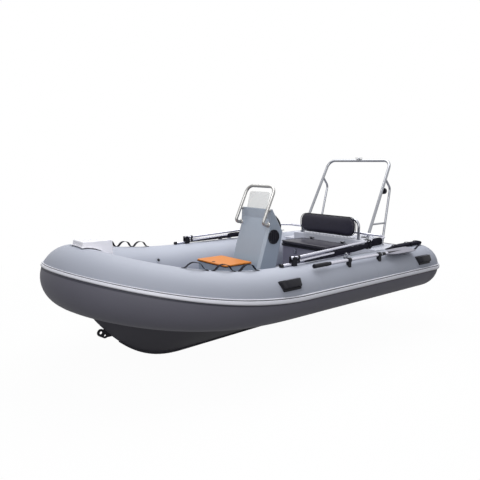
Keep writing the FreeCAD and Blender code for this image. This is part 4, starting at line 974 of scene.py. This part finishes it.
dash = {
    "frame": (0.018, 0.033, 0.004), "frameAt": (0, 0, 0.002), "rocker": (0.012, 0.025, 0.006),
    "rockerAt": (0, 0, 0.005), "tilt": 0.14, "light": (0.005, 0.0016, 0.0008), "lightAt": (0, 0.0085, 0.0094),
    "keyHead": (0.0045, 0.02, 0.016), "keyAt": (0, 0, 0.019),
    "top": (1.552, 0, 0.992), "middle": 0.066, "depth": 0.007, "gauges": ((-0.04, 0.35), (0.04, 0.62)),
    "radius": 0.029, "switches": (0.09, 0.112, 0.134), "key": -0.105, "start": 2.3, "sweep": -4.6, "ticks": 13,
    "bezel": ((0, 0), (0, 0.006), (0.001, 0.0075), (0.004, 0.0078), (0.0045, 0.005), (0.0046, 0.0046)),
    "dial": ((0.004, 0.004), (0.0045, 0.0052), (0.0284, 0.0053)), "tickAt": (0, 0.0205, 0.0056),
    "longTick": (0.0042, 0.0009, 0.0004), "tick": (0.0024, 0.0006, 0.0004), "needle": (0.001, 0.02, 0.0006),
    "needleAt": (0, 0.008, 0.0062), "pin": ((0.0026, 0.0052), (0.0026, 0.007), (0.0006, 0.0072)),
    "barrel": ((0.0135, 0), (0.0135, 0.003), (0.01, 0.006), (0.009, 0.01), (0.006, 0.0104), (0.0006, 0.0105))}


def onDash(across):  # matrix with Z off the panel, X to port, Y up the slope
    centre = Vector(dash["top"]) + dashAlong * dash["middle"] - dashNormal * dash["depth"]
    return stand(centre + Vector((0, across, 0)), dashNormal, (0, 1, 0))


bezels, dials, marks, switches, lights = [], [], [], [], []
for across, reading in dash["gauges"]:
    base = onDash(across)
    bezel, dial = ([(dash["radius"] - inset, height) for inset, height in dash[name]] for name in ("bezel", "dial"))
    bezels.append(turned(bezel, 40, base))
    dials.append(turned(dial, 40, base))
    for tick in range(dash["ticks"]):
        turn = dash["start"] + dash["sweep"] * tick / (dash["ticks"] - 1)
        marks.append(block(dash["tick"] if tick % 3 else dash["longTick"],
                           base @ spin(turn) @ at(*dash["tickAt"]) @ spin(math.pi / 2), 0.0001, 1))
    turn = dash["start"] + dash["sweep"] * reading
    marks.append(block(dash["needle"], base @ spin(turn) @ at(*dash["needleAt"]), 0.0002, 1))
    dials.append(turned(dash["pin"], 16, base))
for across in dash["switches"]:
    base = onDash(across)
    switches.append(block(dash["frame"], base @ at(*dash["frameAt"]), 0.0012))
    switches.append(block(dash["rocker"], base @ at(*dash["rockerAt"]) @ spin(dash["tilt"], "X"), 0.0012))
    lights.append(block(dash["light"], base @ at(*dash["lightAt"]), 0.0003, 1))
base = onDash(dash["key"])
bezels.append(turned(dash["barrel"], 32, base))
switches.append(block(dash["keyHead"], base @ at(*dash["keyAt"]), 0.0018))
dress("gaugeBezels", bezels, "steel")
dress("gaugeDials", dials, "black_plastic")
dress("gaugeMarks", marks, "step_gelcoat", 0)
dress("dashSwitches", switches, "wheel_plastic")
dress("switchLights", lights, "varnished_wood", 0)
print("helm made")


# Moulded grip bars on the sole and the aft deck

treadGrip = mouldedFinish("treadGrip", srgb(116, 118, 131), 0.6, 0.0, 0.1, 240.0, 0.05, gloss=0.25)
tread = {
    "bar": (0.036, 0.007, 0.0014), "bevel": 0.0006, "pitch": 0.05, "reach": 0.014, "sole": (0.53, 2.66, 0.6, 0.224),
    "deck": (0.045, 0.505, 0.48, 0.63), "sideEdge": 0.199, "bowEdge": 0.236,
    "skips": ((0.51, 0.925, 0.345), (1.505, 1.84, 0.25), (1.8, 2.16, 0.245)), "well": (0.225, 0.195),
    "deckEdge": (0.045, 0.19, 0.175, 0.475), "feet": ((0.425, 0.46), (0.493, 0.401), (0.33, 0.0), (0.3, 0.33)),
    "footGap": 0.055, "plate": (0.34, -0.12), "plateGap": 0.105}


def near(x, y, place, gap):
    return math.hypot(x - place[0], y - place[1]) < gap


def soleFree(x, y):
    if any(low < x < high and abs(y) < half for low, high, half in tread["skips"]):
        return False
    if x < collar["shoulder"]:
        return collar["halfSpacing"] - abs(y) > tread["sideEdge"]
    return not any(near(x, y, collarPlace(turn)[0], tread["bowEdge"]) for turn in range(0, 181, 4))


def deckFree(x, y):
    start, run, aft, fore = tread["deckEdge"]
    edge = mix(aft, fore, min(1.0, max(0.0, (x - start) / run)))
    well = x < tread["well"][0] and abs(y) < tread["well"][1]
    feet = any(near(x, abs(y), foot, tread["footGap"]) for foot in tread["feet"])
    return abs(y) < edge and not well and not feet and not near(x, y, tread["plate"], tread["plateGap"])


def treadBars(name, area, free):
    low, high, half, top = area
    pitch, reach = tread["pitch"], tread["reach"]
    made = []
    for lean, first in ((1, pitch / 2), (-1, pitch)):
        bar = block(tread["bar"], at(low + first, first - half, top) @ spin(lean * math.pi / 4),
                    tread["bevel"], 1)
        size = len(bar.data.vertices)
        for shift, span in (((pitch, 0, 0), high - low), ((0, pitch, 0), 2 * half)):
            addModifier(bar, "ARRAY", use_relative_offset=False, use_constant_offset=True,
                        constant_offset_displace=shift, count=int((span - first) / pitch) + 1)
        mesh = bmesh.new()
        mesh.from_mesh(bar.data)
        mesh.verts.ensure_lookup_table()
        gone = []
        for start in range(0, len(mesh.verts), size):
            corners = mesh.verts[start:start + size]
            centre = sum((vertex.co for vertex in corners), Vector()) / size
            tries = ((0, 0), (reach, 0), (-reach, 0), (0, reach), (0, -reach))
            if not all(free(centre.x + a, centre.y + b) for a, b in tries):
                gone += corners
        bmesh.ops.delete(mesh, geom=gone, context="VERTS")
        mesh.to_mesh(bar.data)
        mesh.free()
        made.append(bar)
    dress(name, made, "deck_gelcoat", 0, material=treadGrip)


treadBars("soleTread", tread["sole"], soleFree)
treadBars("deckTread", tread["deck"], deckFree)
print("tread made")


# Oar blades, spines and ferrules

back = (-1, 0, 0)
oar = {
    "y": 0.922, "z": 0.582, "cup": 0.006, "wide": 0.062, "sink": 0.002, "tilt": -12.0, "spineX": 0.797,
    "ferrules": (0.812, 1.57), "spine": ((0.0158, 0.0), (0.0048, 0.367), (0.001, 0.372)),
    "ferrule": ((0.0152, -0.014), (0.0163, -0.013), (0.0163, 0.013), (0.0152, 0.014)),
    "blade": ((0.8, 0.015, 0.008), (0.76, 0.02, 0.006), (0.72, 0.033, 0.0045), (0.685, 0.048, 0.0038),
        (0.65, 0.057, 0.0034), (0.6, 0.0608, 0.0032), (0.5, 0.062, 0.0032), (0.4, 0.0618, 0.003),
        (0.35, 0.059, 0.0028), (0.325, 0.052, 0.0026), (0.313, 0.042, 0.0024), (0.308, 0.03, 0.002))}
paddles, spines = [], []
for side in (1, -1):
    rings = []
    for x, wide, thick in oar["blade"]:
        lift = oar["cup"] * (wide / oar["wide"]) ** 2
        rings.append([(x, side * a, b + lift * (a / wide) ** 2 - oar["sink"])
                      for a, b in roundRect(wide, thick, thick * 0.9, 3)])
    base = at(0, side * oar["y"], oar["z"]) @ spin(math.radians(side * oar["tilt"]), "X")
    paddles.append(placed(roundOff(loft(rings)), base))
    spines.append(turned(oar["spine"], 24, stand((oar["spineX"], side * oar["y"], oar["z"]), back)))
    for x in oar["ferrules"]:
        spines.append(turned(oar["ferrule"], 28, stand((x, side * oar["y"], oar["z"]), back)))
dress("oarPaddles", paddles, "blade_plastic", 50, stands=["oar_blades"])
dress("oarSpines", spines, "black_plastic")


# Screws

screw = {
    "steps": ((0.0046, -0.0004), (0.0046, 0.0012), (0.0036, 0.0022), (0.0014, 0.0024), (0.0012, 0.0012),
        (0.0004, 0.0012)),
    "feet": ((0.425, 0.46, 0.635, 0.0235, 1.1), (0.152, 0.46, 0.555, 0.019, 0.9),
        (0.493, 0.401, 0.635, 0.0165, 0.8)), "innerFoot": 0.493, "cover": (1.543, 0.217, 0.73), "coverReach": 0.0645,
    "latch": (0.912, -0.115, 0.48), "eyeYs": (0.35, 0.42), "eyeZs": (0.418, 0.442), "box": (1.52, -0.238, 0.838),
    "plate": (0.34, -0.12, 0.6325), "plateReach": 0.086,
    "eyeX": -0.0035, "latchHalf": 0.018, "boxHalf": 0.028}
screws = []
pattern = turned(screw["steps"], 14)


def screwAt(place, normal, scale=0.9):
    screws.append(copyOf(pattern, stand(place, normal) @ Matrix.Scale(scale, 4)))


for side in (1, -1):
    for x, y, z, reach, scale in screw["feet"]:
        inner = x == screw["innerFoot"]
        for turn in turns(3, math.pi / 2 + (0.5 if inner else 0.0)):
            if not (inner and math.cos(turn) > 0.6):
                screwAt((x + reach * math.cos(turn), side * y + reach * math.sin(turn), z), (0, 0, 1), scale)
    x, y, z = screw["cover"]
    for turn in turns(4, math.pi / 4):
        offset = Vector((math.cos(turn), 0, math.sin(turn))) * screw["coverReach"]
        screwAt(Vector((x, side * y, z)) + offset, (0, side, 0), 0.7)
    screwAt(Vector(screw["latch"]) + sky * side * screw["latchHalf"], (1, 0, 0), 0.8)
    for y in screw["eyeYs"]:
        for z in screw["eyeZs"]:
            screwAt((screw["eyeX"], side * y, z), back)
for way in (-1, 1):
    screwAt(Vector(screw["box"]) + Vector((way * screw["boxHalf"], 0, 0)), (0, -1, 0))
for turn in turns(4, math.pi / 4):
    screwAt(Vector(screw["plate"]) + Vector((math.cos(turn), math.sin(turn), 0)) * screw["plateReach"], (0, 0, 1))
bpy.data.objects.remove(pattern)
dress("screwHeads", screws, "steel")


# Caps, drains, pads, flanges, seals, towing eyes and the locker lid's trim

lathe = {  # steps of radius and height, sides, place, and the way up
    "drain": (((0.026, 0.0), (0.026, 0.004), (0.021, 0.007), (0.0165, 0.007), (0.016, 0.0015), (0.0006, 0.0015)), 36,
        (0, 0.4, 0.285), back),
    "plug": (((0.015, 0.0), (0.015, 0.006), (0.011, 0.009), (0.008, 0.017), (0.0006, 0.018)), 32,
        (0, 0, -0.06), back),
    "filler": (((0.037, 0.0), (0.037, 0.003), (0.034, 0.005), (0.027, 0.0054), (0.026, 0.003), (0.0006, 0.003)), 40,
        (0.3, 0.33, 0.63), sky),
    "grille": (((0.0325, -0.001), (0.0325, 0.003), (0.029, 0.004), (0.026, 0.0012), (0.0215, 0.0012), (0.0205, 0.003),
        (0.017, 0.003), (0.016, 0.0012), (0.012, 0.0012), (0.011, 0.003), (0.007, 0.0032), (0.0006, 0.0034)), 36,
        (0.1271, 0.4424, 1.132), back),
    "flange": (((0.024, 0.0), (0.024, 0.003), (0.019, 0.007), (0.0158, 0.008)), 32, (1.6045, 0.197, 0.848),
        (0.95, 0, 0.313)),
    "plate": (((0.094, 0.0), (0.094, 0.002), (0.092, 0.0028), (0.078, 0.003), (0.0765, 0.0012), (0.075, 0.0012),
        (0.0735, 0.0032), (0.018, 0.0034), (0.017, 0.0014), (0.0006, 0.0014)), 64, (0.34, -0.12, 0.63), sky)}
blocks = {  # size, place and bevel
    "fillerGrip": ((0.044, 0.007, 0.004), (0.3, 0.33, 0.6345), 0.0015),
    "motorPad": ((0.005, 0.25, 0.15), (-0.0022, 0, 0.43), 0.002),
    "eyePlate": ((0.004, 0.1, 0.044), (-0.0015, 0.385, 0.43), 0.0015),
    "sideSeal": ((0.3, 0.006, 0.005), (1.674, 0.2275, 0.2262), 0.002),
    "foreSeal": ((0.006, 0.456, 0.005), (1.5305, 0, 0.2262), 0.002)}


def lathed(name, side=1):
    steps, sides, place, up = lathe[name]
    return turned(steps, sides, stand(sided(place, side), up))


def blocked(name, side=1):
    size, place, bevel = blocks[name]
    return block(size, at(*sided(place, side)), bevel)


dress("capsAndDrains", [lathed("drain"), lathed("drain", -1), lathed("plug"), lathed("filler"), blocked("fillerGrip"),
                        blocked("motorPad"), blocked("eyePlate"), blocked("eyePlate", -1), lathed("grille")],
      "black_plastic")
dress("railFlanges", [lathed("flange"), lathed("flange", -1)], "rail_tube")
dress("deckPlate", [lathed("plate")], "deck_gelcoat")
dress("footSeals", [blocked("sideSeal"), blocked("sideSeal", -1), blocked("foreSeal")], "step_gelcoat")

ring = {
    "line": ((0.002, -0.024), (-0.02, -0.024), (-0.038, -0.014), (-0.042, 0.0), (-0.038, 0.014), (-0.02, 0.024),
        (0.002, 0.024)), "place": (0.385, 0.43), "radius": 0.005}
eyes = []
for side in (1, -1):
    loop = spread([(x, side * ring["place"][0] + y, ring["place"][1]) for x, y in ring["line"]], 4)
    eyes.append(sweep([(place, ring["radius"]) for place in loop], 12))
dress("towingEyes", eyes, "steel", 50)

low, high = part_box("locker_lid")
middle, size = (low + high) / 2, high - low
lidTrim = {
    "proud": 0.0012, "corner": 0.021, "band": (0.0005, 0.0075), "holeIn": 0.035,
    "hole": ((0.0165, 0.0), (0.0165, 0.0012), (0.0135, 0.0018), (0.0115, 0.0004), (0.0006, 0.0004))}
rim = roundRect(size.x / 2 + lidTrim["proud"], size.y / 2 + lidTrim["proud"], lidTrim["corner"], 6)
rings = [[(middle.x + a, middle.y + b, low.z + rise) for a, b in rim] for rise in lidTrim["band"]]
hole = turned(lidTrim["hole"], 32, at(high.x - lidTrim["holeIn"], middle.y, high.z))
dress("lockerLidTrim", [loft(rings), hole], "black_plastic", body="locker")
print("hardware made")


# Camera, floor and lights

camera = {"place": (4.943, 3.76, 1.415), "yaw": 0.872, "pitch": 0.145, "roll": -0.004, "lens": 39.1}
eye = bpy.data.cameras.new("photoCamera")
eye.lens, eye.sensor_width = camera["lens"], 36.0
eye.clip_start, eye.clip_end = 0.05, 200.0
cameraPiece = link(bpy.data.objects.new("photoCamera", eye))
yaw, pitch = camera["yaw"], camera["pitch"]
forward = Vector((-math.cos(yaw) * math.cos(pitch), -math.sin(yaw) * math.cos(pitch), -math.sin(pitch)))
cameraPiece.location = camera["place"]
cameraPiece.rotation_mode = "QUATERNION"
cameraPiece.rotation_quaternion = forward.to_track_quat("-Z", "Y") @ spin(-camera["roll"]).to_quaternion()
bpy.context.scene.camera = cameraPiece


def seenShare(shade, gloss):  # 1 for what the camera sees, straight or through the screen, and less in reflections
    rays = shade.node("LightPath").socket.node.outputs
    straight, glossy, through = (Shade(shade.tree, rays[f"Is {kind} Ray"])
                                 for kind in ("Camera", "Glossy", "Transmission"))
    return (straight + glossy * gloss + through).maths("MINIMUM", 1.0)


floorPlan = {
    "height": -0.245, "size": 60.0, "centre": (1.6, 0.0), "near": 2.2, "far": 5.0, "paper": 0.24, "shade": 0.03,
    "gloss": 0.45, "fill": 0.42}
clearSelection()
bpy.ops.mesh.primitive_plane_add(size=floorPlan["size"], location=(*floorPlan["centre"], floorPlan["height"]))
floorPiece = started()
floorPiece.name = "studioFloor"
floorFinish, shade = newFinish("studioFloor")
x, y = shade.axis(0) - floorPlan["centre"][0], shade.axis(1) - floorPlan["centre"][1]
away = (x * x + y * y).maths("SQRT").step(floorPlan["near"], floorPlan["far"])
paper = shade.node("BsdfDiffuse", {"Color": (floorPlan["paper"],) * 3})
pale = shade.node("BsdfDiffuse", {"Color": (0.86, 0.86, 0.87)})
white = shade.node("Emission", {"Color": (1.0, 1.0, 1.0), "Strength": 1.0})
lit = shade.node("MixShader", {0: (1 - away) * floorPlan["shade"], 1: white, 2: pale})
floorMix = shade.node("MixShader", {0: seenShare(shade, floorPlan["gloss"]), 1: paper, 2: lit})
shade.node("OutputMaterial", {"Surface": floorMix})
floorPiece.data.materials.append(floorFinish)

world = bpy.data.worlds.new("studio")
bpy.context.scene.world = world
world.use_nodes = True
world.node_tree.nodes.clear()
shade = Shade(world.node_tree)
fill = shade.node("Background", {"Color": (0.94, 0.96, 1.0), "Strength": floorPlan["fill"]})
blank = shade.node("Background", {"Color": (1.0, 1.0, 1.0), "Strength": 1.0})
worldMix = shade.node("MixShader", {0: seenShare(shade, 1.0), 1: fill, 2: blank})
shade.node("OutputWorld", {"Surface": worldMix})

lamps = {
    "overhead": ((0.9, -0.7, 4.5), (1.5, -0.1, 0.3), 4.6, 221.0),
    "bowSide": ((4.7, 3.0, 2.2), (1.7, 0.4, 0.3), 3.0, 51.0),
    "sternSide": ((-2.8, 3.4, 3.2), (0.8, 0.2, 0.4), 3.0, 1.5),
    "consoleTop": ((2.15, 0.3, 1.7), (1.45, 0.0, 1.02), 0.4, 3.8)}
for name, (place, aim, size, power) in lamps.items():
    light = bpy.data.lights.new(name, "AREA")
    light.energy, light.size = power, size
    lamp = link(bpy.data.objects.new(name, light))
    lamp.location = place
    lamp.rotation_euler = (Vector(aim) - Vector(place)).to_track_quat("-Z", "Y").to_euler()
bpy.context.scene.view_settings.view_transform = "Standard"
print("studio set")
